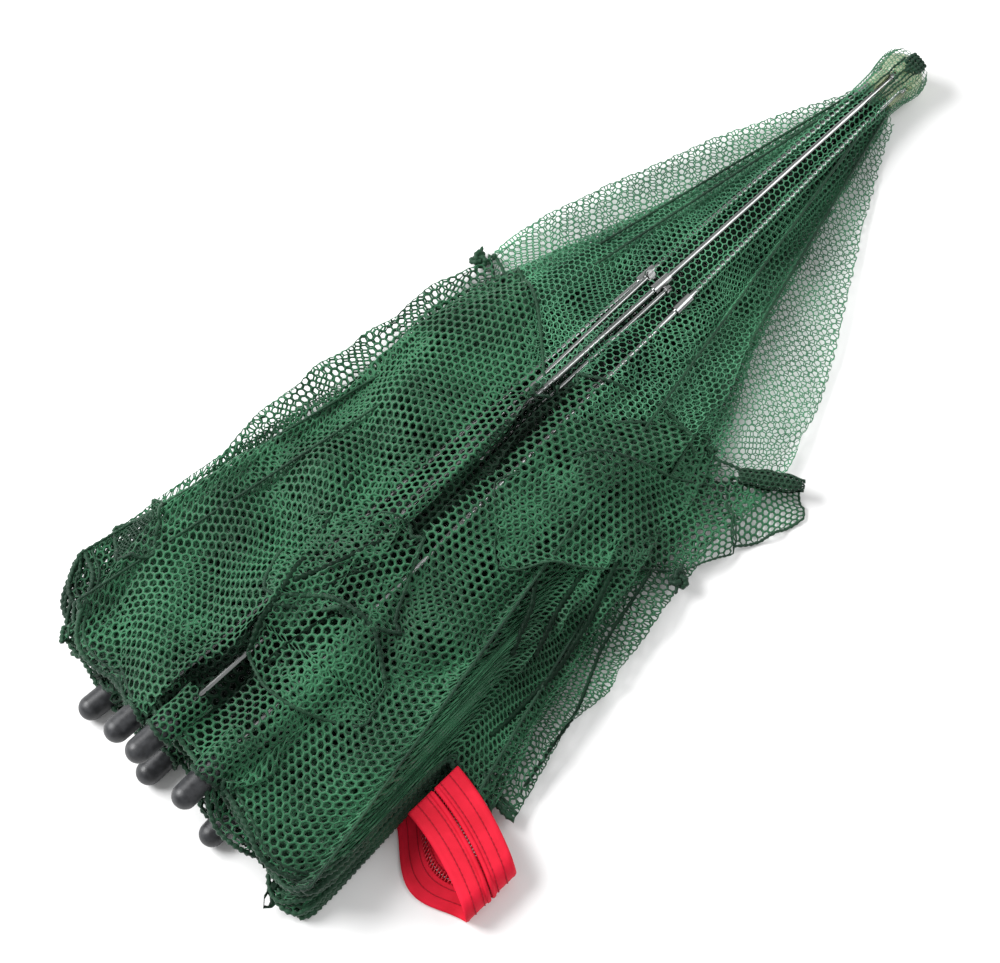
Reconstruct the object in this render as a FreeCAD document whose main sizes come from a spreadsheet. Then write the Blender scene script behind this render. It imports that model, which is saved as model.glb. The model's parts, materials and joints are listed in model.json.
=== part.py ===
"""Folded umbrella-type fishing trap: six sprung steel ribs hinged in a crown, six stretchers that run to
a notched runner, rubber end caps, twelve half panels of green netting and a red zipper, lying on a floor.

World frame: +X from the caps to the crown, +Z up, the floor at Z 0, the origin under the bundle's middle.
Each rib is numbered by its place round the crown: rib 1 is the lowest, and the next ones follow every 60
degrees. Net panel Na hangs on rib N and panel Nb on the next rib; both meet at the seam of gore N.
"""
import FreeCAD, Part
import math
import os
import re

from FreeCAD import Matrix, Placement, Rotation, Vector

# name, value in mm or degrees, what it is
DIMENSIONS = (
    ("rib_count", 6, "ribs round the crown"),
    ("crown_x", 204.0, "hinge circle of the ribs, from the origin"),
    ("axis_y", 22.0, "the bundle's axis, left of the origin"),
    ("axis_tilt", 2.04, "rise of the axis towards the caps, degrees"),
    ("hinge_circle", 6.0, "radius of the hinge circle in crown and runner"),
    ("rib_length", 415.5, "rib wire from its hinge pin to its end"),
    ("rib_radius", 1.2, "rib wire"),
    ("eye_radius", 2.2, "flattened eye of a wire"),
    ("eye_thickness", 1.6, "eye of a rib"),
    ("pin_radius", 0.7, "hinge pin in the crown"),
    ("pin_length", 6.4, "hinge pin in the crown"),
    ("pin_clearance", 0.08, "radial, eye on pin"),
    ("bulb_radius", 9.8, "widest part of the crown"),
    ("bulb_offset", 6.0, "widest part, ahead of the hinge circle"),
    ("nose_length", 13.5, "crown nose ahead of the hinge circle"),
    ("nose_radius", 4.0, "flat end of the nose"),
    ("neck_radius", 8.0, "crown behind the bulb"),
    ("neck_length", 9.0, "crown behind the hinge circle"),
    ("cord_bore", 1.6, "radius of the bore for a pull cord, crown and runner"),
    ("slot_width", 3.0, "rib slot in the crown"),
    ("slot_floor", 3.0, "distance of the slot's inner wall from the axis"),
    ("slot_depth", 2.8, "slot ahead of the hinge circle"),
    ("cap_radius", 5.0, "rubber cap"),
    ("cap_cover", 16.0, "wire held in the cap"),
    ("cap_tip", 6.0, "rubber beyond the wire's end"),
    ("cap_mouth_radius", 4.4, "open end of the cap"),
    ("cap_gap", 0.1, "lowest caps' middle lines above their radius"),
    ("arm_length", 140.0, "crown to stretcher hinge, and stretcher length"),
    ("sleeve_radius", 2.2, "clip sleeve on the rib"),
    ("sleeve_length", 9.0, "clip sleeve on the rib"),
    ("rivet_radius", 0.9, "rivet of the clip"),
    ("rivet_head_radius", 1.6, "rivet head"),
    ("rivet_head_height", 0.7, "rivet head"),
    ("stretcher_side", 3.5, "stretcher beside the rib's own plane"),
    ("stretcher_radius", 1.0, "stretcher wire"),
    ("stretcher_eye", 1.2, "thickness of a stretcher's eyes"),
    ("stretcher_end_radius", 2.0, "eye at the runner"),
    ("runner_radius", 8.0, "runner"),
    ("runner_length", 8.0, "runner"),
    ("runner_slot", 2.6, "width of a runner slot"),
    ("runner_core", 3.4, "inner wall of the runner slots from the axis"),
    ("net_thickness", 0.6, "stand-in sheet for the netting"),
    ("net_hem_x", -192.0, "hem of the netting"),
    ("net_start", 0.38, "where the stand-in sheets begin, share of the way from crown to hem"),
    ("net_clear", 19.5, "least distance of a sheet's near end from the axis, clear of the stretchers"),
    ("zip_x", -145.0, "middle of the zipper tape"),
    ("zip_width", 26.0, "both zipper tapes together"),
    ("zip_gap", 1.2, "between the two tapes, under the coil"),
    ("zip_tape", 0.7, "tape thickness"),
    ("zip_floor", 0.4, "underside of the lower run above the floor"),
    ("zip_fold_y", -107.0, "outermost point of the fold"),
    ("zip_fold_radius", 7.0, "outside of the tape in the fold"),
    ("zip_lower_end", -24.0, "inner end of the lower run"),
    ("zip_upper_end", -60.0, "inner end of the upper run"),
    ("coil_width", 3.4, "zipper coil"),
    ("coil_height", 1.5, "zipper coil"),
    ("slider_length", 9.0, "zipper slider along the zipper"),
    ("slider_width", 8.0, "zipper slider across"),
    ("slider_wall", 1.0, "top and bottom plates of the slider"),
    ("slider_y", -42.0, "middle of the slider"),
    ("loop_width", 3.0, "slider's arch that holds the puller"),
    ("loop_length", 5.0, "slider's arch"),
    ("loop_eye_length", 3.0, "gap under the arch"),
    ("loop_eye_height", 1.9, "gap under the arch"),
    ("loop_height", 2.4, "slider's arch"),
    ("puller_length", 18.0, "puller, from its bar"),
    ("puller_width", 5.0, "puller"),
    ("puller_thickness", 1.2, "puller"),
    ("puller_bar_radius", 0.5, "puller's bar under the arch"),
    ("puller_window", 3.6, "gap of the puller round the arch"),
    ("puller_window_length", 4.6, "gap of the puller, from its bar"),
    ("stop_length", 2.4, "zipper end stop along the zipper"),
)

# Splay of the ribs that don't lie on the floor, in degrees: rib number to value.
RAISED_SPLAY = {3: 1.23, 4: 0.95, 5: 3.14}

# Netting at the hem. The seam of each gore lies at this distance from the axis, +Y to the left.
SEAM_Y = {1: 62.0, 2: 85.0, 3: 64.0, 4: -78.0, 5: -112.0, 6: -90.0}
# Each panel's rib side, from the axis, and its heights at the rib side and at the seam.
PANELS = {
    "1a": (5.0, 1.0, 1.0),
    "1b": (42.0, 6.4, 5.0),
    "2a": (42.0, 10.0, 11.0),
    "2b": (20.0, 24.0, 16.0),
    "3a": (22.0, 34.0, 22.0),
    "3b": (6.0, 43.0, 28.0),
    "4a": (-6.0, 48.0, 36.0),
    "4b": (-32.0, 33.0, 25.0),
    "5a": (-32.0, 26.0, 16.0),
    "5b": (-42.0, 12.0, 11.5),
    "6a": (-42.0, 9.0, 9.4),
    "6b": (-5.0, 7.6, 7.6),
}
# These two lie level. The planes of the others pass through the crown.
LEVEL_PANELS = ("1a", "6b")

doc = FreeCAD.newDocument("fishing_trap")
sheet = doc.addObject("Spreadsheet::Sheet", "Dimensions")
for row, (alias, value, meaning) in enumerate(DIMENSIONS, start=1):
    sheet.set(f"A{row}", meaning)
    sheet.set(f"B{row}", str(value))
    sheet.setAlias(f"B{row}", alias)
doc.recompute()
made = {}


def dim(alias):
    """A driving dimension as the sheet holds it."""
    return float(sheet.get(alias))


def bind(thing, **sizes):
    """Ties properties of a document object to cells or to formulas of cells."""
    for name, formula in sizes.items():
        thing.setExpression(name, formula)
    return thing


def sized(formula):
    """The formula with each alias written as a cell of the sheet."""
    return re.sub("[a-z_]+", lambda alias: "Dimensions." + alias.group(), formula)


def solid(kind, label, place=None, **sizes):
    """A Part primitive with its sizes bound to the sheet and its own place in the piece."""
    thing = doc.addObject("Part::" + kind, label)
    bind(thing, **{name: sized(formula) for name, formula in sizes.items()})
    if place:
        thing.Placement = place
    return thing


def joined(label, pieces):
    thing = doc.addObject("Part::MultiFuse", label)
    thing.Shapes = pieces
    return thing


def cut(label, base, tool):
    thing = doc.addObject("Part::Cut", label)
    thing.Base = base
    thing.Tool = tool
    return thing


def keep(node, thing, place=None):
    """Registers a finished sub-part under its node's name, in its place."""
    if place:
        thing.Placement = place
    thing.Label = node
    made[node] = thing


def frame(origin, x, y, z):
    """A placement from an origin and three unit axes."""
    return Placement(Matrix(x.x, y.x, z.x, origin.x, x.y, y.y, z.y, origin.y,
                            x.z, y.z, z.z, origin.z, 0, 0, 0, 1))


def along_y(origin):
    """A primitive's own +Z laid along +Y."""
    return Placement(origin, Rotation(Vector(1, 0, 0), -90))


# The crown's frame: AXIS runs from the crown to the caps, UP is square to it.
TILT = math.radians(dim("axis_tilt"))
AXIS = Vector(-math.cos(TILT), 0, math.sin(TILT))
UP = Vector(math.sin(TILT), 0, math.cos(TILT))
LEFT = Vector(0, 1, 0)
CROWN = Vector(dim("crown_x"), dim("axis_y"),
               dim("bulb_radius") * math.cos(TILT) + dim("bulb_offset") * math.sin(TILT))
COUNT = int(dim("rib_count"))


def radial(azimuth):
    return LEFT * math.cos(azimuth) + UP * math.sin(azimuth)


def tangent(azimuth):
    return UP * math.cos(azimuth) - LEFT * math.sin(azimuth)


def azimuth_of(number):
    return math.radians(270 + (number - 1) * 360 / COUNT)


def splay_of(number):
    """A rib's angle to the axis: the given one, or the one that lays its cap on the floor."""
    if number in RAISED_SPLAY:
        return math.radians(RAISED_SPLAY[number])
    down = -math.sin(azimuth_of(number)) * math.cos(TILT)
    held = dim("rib_length") - dim("cap_cover") / 2
    rise = CROWN.z + held * math.sin(TILT) - dim("cap_radius") - dim("cap_gap")
    return math.asin((rise / down - dim("hinge_circle")) / held)


def crown_frame(origin):
    """Z along the axis to the caps, X up."""
    return frame(origin, UP, AXIS.cross(UP), AXIS)


def rib_frame(number):
    """Origin on the hinge pin, Z along the rib, X outwards, Y along the pin."""
    turn, splay = azimuth_of(number), splay_of(number)
    out, side = radial(turn), tangent(turn) * -1
    lengthways = AXIS * math.cos(splay) + out * math.sin(splay)
    return frame(CROWN + out * dim("hinge_circle"), side.cross(lengthways), side, lengthways)


def stretcher_frame(number):
    """Origin on the rivet, Z along the stretcher to the runner, Y along the rivet."""
    turn, splay = azimuth_of(number), splay_of(number)
    out, side = radial(turn), tangent(turn) * -1
    lengthways = AXIS * math.cos(splay) - out * math.sin(splay)
    rivet = rib_frame(number).multVec(Vector(0, -dim("stretcher_side"), dim("arm_length")))
    return frame(rivet, side.cross(lengthways), side, lengthways)


def plane(body, role):
    """One of a body's own origin planes."""
    return next(f for f in body.Origin.OriginFeatures if f.Role == role)


def sketch_on(body, role, name):
    sketch = body.newObject("Sketcher::SketchObject", name)
    sketch.AttachmentSupport = [(plane(body, role), "")]
    sketch.MapMode = "FlatFace"
    return sketch


def closed_profile(sketch, points):
    """Straight edges through the points and back, held at their ends."""
    count = len(points)
    for i, start in enumerate(points):
        end = points[(i + 1) % count]
        sketch.addGeometry(Part.LineSegment(Vector(*start, 0), Vector(*end, 0)), False)


def revolve(body, sketch, name):
    """A full turn of a sketch about the sketch's own vertical axis."""
    turn = body.newObject("PartDesign::Revolution", name)
    turn.Profile = sketch
    turn.ReferenceAxis = (sketch, ["V_Axis"])
    turn.Angle = 360
    return turn


def bulge(widest, end):
    """The middle of the arc that leaves the widest point parallel to the axis and reaches the end."""
    inwards, along = widest[0] - end[0], end[1] - widest[1]
    radius = (inwards ** 2 + along ** 2) / (2 * inwards)
    half_turn = math.asin(along / radius) / 2
    return (widest[0] - radius * (1 - math.cos(half_turn)), widest[1] + radius * math.sin(half_turn))


def crown_hub():
    """A turned plastic knob with a rounded bulb, cut by one slot for each rib."""
    body = doc.addObject("PartDesign::Body", "crown_hub_body")
    sketch = sketch_on(body, "XZ_Plane", "crown_profile")
    bore, neck, bulb = dim("cord_bore"), dim("neck_radius"), dim("bulb_radius")
    back, nose = dim("neck_length"), -dim("nose_length")
    widest = -dim("bulb_offset")
    front = dim("nose_radius")
    rim = bulge((bulb, widest), (neck, 0))
    brow = bulge((bulb, widest), (front, nose))
    lines = [((bore, nose), (bore, back)), ((bore, back), (neck, back)), ((neck, back), (neck, 0))]
    for start, end in lines:
        sketch.addGeometry(Part.LineSegment(Vector(*start, 0), Vector(*end, 0)), False)
    arcs = [((neck, 0), rim, (bulb, widest)), ((bulb, widest), brow, (front, nose))]
    for three in arcs:
        sketch.addGeometry(Part.Arc(*(Vector(*point, 0) for point in three)), False)
    sketch.addGeometry(Part.LineSegment(Vector(front, nose, 0), Vector(bore, nose, 0)), False)
    doc.recompute()
    turned = revolve(body, sketch, "crown_turned")
    doc.recompute()
    before = turned.Shape.Volume
    slot_sketch = sketch_on(body, "XZ_Plane", "crown_slot")
    inner, outer = dim("slot_floor"), bulb + 4
    closed_profile(slot_sketch, [(inner, -dim("slot_depth")), (outer, -dim("slot_depth")),
                                 (outer, back + 2), (inner, back + 2)])
    doc.recompute()
    slot = body.newObject("PartDesign::Pocket", "crown_rib_slot")
    slot.Profile = slot_sketch
    bind(slot, Length="Dimensions.slot_width")
    slot.Midplane = True
    doc.recompute()
    slots = body.newObject("PartDesign::PolarPattern", "crown_rib_slots")
    slots.Originals = [slot]
    slots.Axis = (slot_sketch, ["V_Axis"])
    slots.Angle = 360
    bind(slots, Occurrences="Dimensions.rib_count")
    body.Tip = slots
    doc.recompute()
    if body.Shape.Volume > before - 10:
        raise RuntimeError("the crown's slots cut nothing")
    keep("crown_hub", body, crown_frame(CROWN))


def crown_pins():
    """One hinge pin across each slot."""
    pins = []
    for number in range(1, COUNT + 1):
        turn = azimuth_of(number)
        middle = CROWN + radial(turn) * dim("hinge_circle")
        start = middle - tangent(turn) * (dim("pin_length") / 2)
        place = Placement(start, Rotation(Vector(0, 0, 1), tangent(turn)))
        pins.append(solid("Cylinder", f"crown_pin_{number}", place, Radius="pin_radius", Height="pin_length"))
    group = doc.addObject("Part::Compound", "crown_pin_set")
    group.Links = pins
    keep("crown_pins", group)


def rib(number):
    """A steel wire with a flattened eye at the crown end."""
    half = dim("eye_thickness") / 2
    eye = solid("Cylinder", f"rib_eye_{number}", along_y(Vector(0, -half, 0)),
                Radius="eye_radius", Height="eye_thickness")
    start = dim("eye_radius") - 0.5
    wire = solid("Cylinder", f"rib_wire_{number}", Placement(Vector(0, 0, start), Rotation()),
                 Radius="rib_radius", Height=f"rib_length-{start}")
    hole = solid("Cylinder", f"rib_hole_{number}", along_y(Vector(0, -2 * half, 0)),
                 Radius="pin_radius+pin_clearance", Height="2*eye_thickness")
    whole = cut(f"rib_cut_{number}", joined(f"rib_fused_{number}", [eye, wire]), hole)
    keep(f"rib_{number}", whole, rib_frame(number))


def rib_cap(number):
    """A domed rubber cap with a blind hole that the wire's end fills."""
    body = doc.addObject("PartDesign::Body", f"rib_cap_body_{number}")
    sketch = sketch_on(body, "XZ_Plane", f"cap_profile_{number}")
    wire, mouth, full = dim("rib_radius"), dim("cap_mouth_radius"), dim("cap_radius")
    cover, tip = dim("cap_cover"), dim("cap_tip")
    dome_start = tip - full
    shoulder = (full * math.sin(math.radians(45)), dome_start + full * math.cos(math.radians(45)))
    edges = [((wire, 0), (wire, -cover)), ((wire, -cover), (mouth, -cover)),
             ((mouth, -cover), (full, -cover + 3)), ((full, -cover + 3), (full, dome_start))]
    for start, end in edges:
        sketch.addGeometry(Part.LineSegment(Vector(*start, 0), Vector(*end, 0)), False)
    sketch.addGeometry(Part.Arc(Vector(full, dome_start, 0), Vector(*shoulder, 0), Vector(0, tip, 0)), False)
    sketch.addGeometry(Part.LineSegment(Vector(0, tip, 0), Vector(0, 0, 0)), False)
    sketch.addGeometry(Part.LineSegment(Vector(0, 0, 0), Vector(wire, 0, 0)), False)
    doc.recompute()
    revolve(body, sketch, f"cap_turned_{number}")
    place = rib_frame(number)
    place.Base = place.multVec(Vector(0, 0, dim("rib_length")))
    keep(f"rib_cap_{number}", body, place)


def rib_clip(number):
    """A steel sleeve crimped on the rib, with the rivet that the stretcher turns on."""
    half = dim("sleeve_length") / 2
    place = Placement(Vector(0, 0, -half), Rotation())
    sleeve = solid("Cylinder", f"sleeve_{number}", place, Radius="sleeve_radius", Height="sleeve_length")
    bore = solid("Cylinder", f"sleeve_bore_{number}", place, Radius="rib_radius", Height="sleeve_length")
    ring = cut(f"sleeve_ring_{number}", sleeve, bore)
    root = dim("rib_radius") + 0.2
    head_y = dim("stretcher_side") + dim("stretcher_eye") / 2 + 0.3
    shank = solid("Cylinder", f"rivet_{number}", along_y(Vector(0, -head_y - 0.2, 0)),
                  Radius="rivet_radius", Height=f"{head_y + 0.2 - root}")
    head_start = Vector(0, -head_y - dim("rivet_head_height"), 0)
    head = solid("Cylinder", f"rivet_head_{number}", along_y(head_start),
                 Radius="rivet_head_radius", Height="rivet_head_height")
    whole = joined(f"rib_clip_fused_{number}", [ring, shank, head])
    place = rib_frame(number)
    place.Base = place.multVec(Vector(0, 0, dim("arm_length")))
    keep(f"rib_clip_{number}", whole, place)


def stretcher(number):
    """A thinner wire with an eye on the rivet and a flat end in the runner's slot."""
    half = dim("stretcher_eye") / 2
    reach = dim("arm_length")
    eye = solid("Cylinder", f"stretcher_eye_{number}", along_y(Vector(0, -half, 0)),
                Radius="eye_radius", Height="stretcher_eye")
    end = solid("Cylinder", f"stretcher_end_{number}", along_y(Vector(0, -half, reach)),
                Radius="stretcher_end_radius", Height="stretcher_eye")
    start = dim("eye_radius") - 0.3
    stop = dim("stretcher_end_radius") - 0.5
    wire = solid("Cylinder", f"stretcher_wire_{number}", Placement(Vector(0, 0, start), Rotation()),
                 Radius="stretcher_radius", Height=f"arm_length-{start + stop}")
    hole = solid("Cylinder", f"stretcher_hole_{number}", along_y(Vector(0, -2 * half, 0)),
                 Radius="rivet_radius+pin_clearance", Height="2*stretcher_eye")
    whole = cut(f"stretcher_cut_{number}", joined(f"stretcher_fused_{number}", [eye, wire, end]), hole)
    keep(f"stretcher_{number}", whole, stretcher_frame(number))


def runner():
    """A notched collar where the stretchers end; its slots stay open outwards."""
    half = dim("runner_length") / 2
    collar = solid("Cylinder", "runner_collar", Placement(Vector(0, 0, -half), Rotation()),
                   Radius="runner_radius", Height="runner_length")
    bore = solid("Cylinder", "runner_bore", Placement(Vector(0, 0, -half), Rotation()),
                 Radius="cord_bore", Height="runner_length")
    slots = [bore]
    for number in range(1, COUNT + 1):
        turn = azimuth_of(number)
        spin = Rotation(Vector(0, 0, 1), -math.degrees(turn) + 90)
        aside = -dim("stretcher_side") - dim("runner_slot") / 2
        corner = Vector(dim("runner_core"), aside, -dim("runner_length"))
        box = solid("Box", f"runner_slot_{number}", Placement(spin.multVec(corner), spin),
                    Length="runner_radius", Width="runner_slot", Height="2*runner_length")
        slots.append(box)
    whole = cut("runner_cut", collar, joined("runner_slots", slots))
    keep("runner", whole, crown_frame(CROWN + AXIS * (2 * dim("arm_length"))))


def net_panel(name):
    """A thin sheet from near a rib to a gore's seam, widening from the crown to the hem."""
    inner_y, inner_z, seam_z = PANELS[name]
    seam_y = SEAM_Y[int(name[0])]
    hem_x, start = dim("net_hem_x"), dim("net_start")
    hem = [Vector(hem_x, dim("axis_y") + y, z) for y, z in ((inner_y, inner_z), (seam_y, seam_z))]
    near = [CROWN + (corner - CROWN) * start for corner in hem]
    if name in LEVEL_PANELS:
        near = [Vector(corner.x, corner.y, inner_z) for corner in near]
    across = near[1] - near[0]
    clear = dim("axis_y") + math.copysign(dim("net_clear"), seam_y)
    near[0] = near[0] + across * ((clear - near[0].y) / across.y)
    lift = Vector(0, 0, dim("net_thickness"))
    corners = [near[0], hem[0], hem[1], near[1]]
    lower = Part.Face(Part.makePolygon(corners + corners[:1]))
    thing = doc.addObject("Part::Feature", f"net_sheet_{name}")
    thing.Shape = lower.extrude(lift)
    keep(f"net_panel_{name}", thing)


def zipper_path(height, lower_end, upper_end):
    """The zipper's bend as a wire in the YZ plane: lower run, round fold, upper run."""
    radius = dim("zip_fold_radius")
    turn_y = dim("zip_fold_y") + radius
    low = dim("zip_floor") + height
    high = low + 2 * (radius - height)
    reach = radius - height
    return Part.Wire([
        Part.makeLine(Vector(0, lower_end, low), Vector(0, turn_y, low)),
        Part.Arc(Vector(0, turn_y, low), Vector(0, turn_y - reach, low + reach),
                 Vector(0, turn_y, high)).toShape(),
        Part.makeLine(Vector(0, turn_y, high), Vector(0, upper_end, high)),
    ])


def bent_strip(node, left, right, low, high, lower_end, upper_end):
    """A strip of the zipper between two heights over the tape's underside, following the fold."""
    outer, inner = zipper_path(low, lower_end, upper_end), zipper_path(high, lower_end, upper_end)
    ends = [Part.makeLine(outer.Vertexes[i].Point, inner.Vertexes[i].Point) for i in (0, -1)]
    face = Part.Face(Part.Wire(Part.__sortEdges__(outer.Edges + inner.Edges + ends)))
    face.translate(Vector(left, 0, 0))
    thing = doc.addObject("Part::Feature", node + "_strip")
    thing.Shape = face.extrude(Vector(right - left, 0, 0))
    keep(node, thing)


def box_at(label, x, y, z, length, width, height):
    """A box around a point of its lower face, with its three sizes bound to the sheet."""
    thing = solid("Box", label, None, Length=length, Width=width, Height=height)
    doc.recompute()
    thing.Placement = Placement(Vector(x - thing.Length.Value / 2, y - thing.Width.Value / 2, z), Rotation())
    return thing


def slider():
    """A channel over the coil, with an arch on top."""
    middle, y = dim("zip_x"), dim("slider_y")
    low = dim("zip_floor") + dim("zip_tape") + 0.2
    plate_z = low + dim("coil_height")
    pieces = [box_at("slider_plate", middle, y, plate_z, "slider_width", "slider_length", "slider_wall")]
    aside = (dim("slider_width") - dim("slider_wall")) / 2
    for number, x in enumerate((middle - aside, middle + aside)):
        wall = box_at(f"slider_wall_{number}", x, y, low, "slider_wall", "slider_length", "coil_height")
        pieces.append(wall)
    top = plate_z + dim("slider_wall")
    arch = box_at("slider_loop", middle, y, top, "loop_width", "loop_length", "loop_height")
    eye = box_at("slider_loop_eye", middle, y, top, "2*loop_width", "loop_eye_length", "loop_eye_height")
    keep("zipper_slider", joined("slider_fused", pieces + [cut("slider_arch", arch, eye)]))


def puller():
    """A flat tab on a round bar, lying along the zipper towards its closed end."""
    middle, y = dim("zip_x"), dim("slider_y")
    top = dim("zip_floor") + dim("zip_tape") + 0.2 + dim("coil_height") + dim("slider_wall")
    bar_z = top + dim("loop_eye_height") / 2
    start = Vector(middle - dim("puller_width") / 2, y, bar_z)
    bar = solid("Cylinder", "puller_bar", Placement(start, Rotation(Vector(0, 1, 0), 90)),
                Radius="puller_bar_radius", Height="puller_width")
    low = bar_z - dim("puller_thickness") / 2
    tab = box_at("puller_tab", middle, y + dim("puller_length") / 2, low,
                 "puller_width", "puller_length", "puller_thickness")
    window = box_at("puller_window_box", middle, y + dim("puller_window_length") / 2 - 1, low - 1,
                    "puller_window", "puller_window_length+2", "puller_thickness+2")
    keep("zipper_puller", joined("puller_fused", [bar, cut("puller_ring", tab, window)]))


def zipper():
    """Two woven tapes with a coil over their gap, folded into a loop, with a stop at the inner end."""
    middle, half, gap = dim("zip_x"), dim("zip_width") / 2, dim("zip_gap") / 2
    tape, coil, rise = dim("zip_tape"), dim("coil_width"), dim("coil_height")
    ends = (dim("zip_lower_end"), dim("zip_upper_end"))
    bent_strip("zipper_tape_front", middle + gap, middle + half, 0, tape, *ends)
    bent_strip("zipper_tape_back", middle - half, middle - gap, 0, tape, *ends)
    bent_strip("zipper_coil", middle - coil / 2, middle + coil / 2, tape, tape + rise, *ends)
    slider()
    puller()
    corner = Vector(middle - coil / 2 - 0.8, ends[0] + 0.1, dim("zip_floor"))
    stop = solid("Box", "zipper_stop_box", Placement(corner, Rotation()),
                 Length="coil_width+1.6", Width="stop_length", Height="zip_tape+coil_height")
    keep("zipper_end_stop", stop)


crown_hub()
crown_pins()
for rib_number in range(1, COUNT + 1):
    rib(rib_number)
    rib_cap(rib_number)
    rib_clip(rib_number)
    stretcher(rib_number)
runner()
for panel_name in PANELS:
    net_panel(panel_name)
zipper()
doc.recompute()

for thing in doc.Objects:
    if {"Invalid", "Error"} & set(thing.State):
        raise RuntimeError(f"{thing.Label} failed: {thing.State}")
for node, thing in made.items():
    if thing.Shape.isNull() or not thing.Shape.isValid():
        raise RuntimeError(f"{node} has no valid shape")

os.makedirs("parts", exist_ok=True)
box = FreeCAD.BoundBox()
for node, thing in made.items():
    thing.Shape.exportStep(f"parts/{node}.step")
    box.add(thing.Shape.BoundBox)
print(f"{len(made)} parts, box {box}")
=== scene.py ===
import json
import math
import bpy
import numpy as np
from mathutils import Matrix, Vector


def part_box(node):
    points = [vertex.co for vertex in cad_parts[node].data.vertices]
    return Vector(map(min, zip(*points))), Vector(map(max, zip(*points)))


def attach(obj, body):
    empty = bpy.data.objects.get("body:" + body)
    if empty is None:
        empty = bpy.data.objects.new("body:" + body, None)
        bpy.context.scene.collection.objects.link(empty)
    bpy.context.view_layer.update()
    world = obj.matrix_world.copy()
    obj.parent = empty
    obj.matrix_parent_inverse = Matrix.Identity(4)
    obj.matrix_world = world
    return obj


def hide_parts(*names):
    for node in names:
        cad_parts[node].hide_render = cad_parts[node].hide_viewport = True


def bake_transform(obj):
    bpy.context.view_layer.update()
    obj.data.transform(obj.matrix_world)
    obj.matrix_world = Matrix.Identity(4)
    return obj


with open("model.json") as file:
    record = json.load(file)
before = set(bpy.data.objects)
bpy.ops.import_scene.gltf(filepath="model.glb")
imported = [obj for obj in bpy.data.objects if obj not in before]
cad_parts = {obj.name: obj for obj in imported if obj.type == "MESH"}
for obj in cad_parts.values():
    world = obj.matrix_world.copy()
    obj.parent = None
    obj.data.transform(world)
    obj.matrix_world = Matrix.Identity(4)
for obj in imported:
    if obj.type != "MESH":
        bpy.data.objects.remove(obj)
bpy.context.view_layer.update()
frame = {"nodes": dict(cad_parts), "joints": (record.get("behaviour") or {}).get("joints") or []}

# Lengths below are in millimetres; MM turns them into metres when a mesh is made.
MM = 0.001
SEED = 7
rng = np.random.default_rng(SEED)


# ---------------------------------------------------------------- places from the frame

joints = {j["name"]: j for j in frame["joints"]}


def node_middle(node):
    low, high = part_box(node)
    return (np.array(low) + np.array(high)) / 2 / MM


def hinge_point(rib):
    name = "fold" if rib == 1 else f"rib_{rib}_fold"
    return np.array(joints[name]["pos_m"]) / MM


RIBS = range(1, 7)
HINGE = {rib: hinge_point(rib) for rib in RIBS}
CROWN = np.mean(list(HINGE.values()), axis=0)
AXIS = -np.array(joints["runner_slide"]["axis"])
AXIS = AXIS / np.linalg.norm(AXIS)  # from the crown to the caps
LEFT = np.array([0.0, 1.0, 0.0])
LIFT = np.cross(LEFT, AXIS)
RIB_DIR = {}
for rib in RIBS:
    along = node_middle(f"rib_cap_{rib}") - HINGE[rib]
    RIB_DIR[rib] = along / np.linalg.norm(along)

# Where each gore's middle seam meets the hem: how far to the left of the crown's axis, and how high.
HEM_X = -192.0
SEAM_Y = {1: 62.0, 2: 85.0, 3: 64.0, 4: -78.0, 5: -112.0, 6: -90.0}
SEAM_Z = {1: 3.0, 2: 13.5, 3: 25.0, 4: 30.5, 5: 13.75, 6: 8.5}
HALVES = [f"{gore}{side}" for gore in RIBS for side in "ab"]


def rib_of(half):
    gore = int(half[0])
    return gore if half[1] == "a" else gore % 6 + 1


def round_line(origin, axes, along, angle, radius):
    """Points round a line, from their places along it, their angles and their distances from it."""
    ahead, side, up = axes
    across = np.outer(np.cos(angle), side) + np.outer(np.sin(angle), up)
    return origin + np.outer(along, ahead) + across * radius[:, None]


def rib_axes(n):
    """A rib's direction, a level one across it and the one upwards."""
    side = np.cross(RIB_DIR[n], (0, 0, 1.0))
    side /= np.linalg.norm(side)
    return RIB_DIR[n], side, np.cross(side, RIB_DIR[n])


# ---------------------------------------------------------------- materials


def material(name, **values):
    """A material with values for its shader's inputs, and its node tree and shader."""
    mat = bpy.data.materials.new(name)
    mat.use_nodes = True
    tree = mat.node_tree
    tree.nodes.clear()
    out = tree.nodes.new("ShaderNodeOutputMaterial")
    shader = tree.nodes.new("ShaderNodeBsdfPrincipled")
    tree.links.new(shader.outputs[0], out.inputs[0])
    for key, value in values.items():
        shader.inputs[key.replace("_", " ")].default_value = value
    return mat, tree, shader


def node(tree, kind, **values):
    """A shader node with settings, or with values for its inputs of those names."""
    made = tree.nodes.new("ShaderNode" + kind)
    for key, value in values.items():
        if hasattr(made, key):
            setattr(made, key, value)
        else:
            made.inputs[key.replace("_", " ")].default_value = value
    return made


def noise(tree, scale, detail=4.0, stretch=None):
    """Noise over the object's own coordinates, in cells per metre; stretch scales the axes."""
    place = tree.nodes.new("ShaderNodeTexCoord")
    found = node(tree, "TexNoise", Scale=scale, Detail=detail)
    if stretch:
        mapping = node(tree, "Mapping", Scale=stretch)
        tree.links.new(place.outputs["Object"], mapping.inputs[0])
        tree.links.new(mapping.outputs[0], found.inputs["Vector"])
    else:
        tree.links.new(place.outputs["Object"], found.inputs["Vector"])
    return found.outputs[0]


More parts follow.
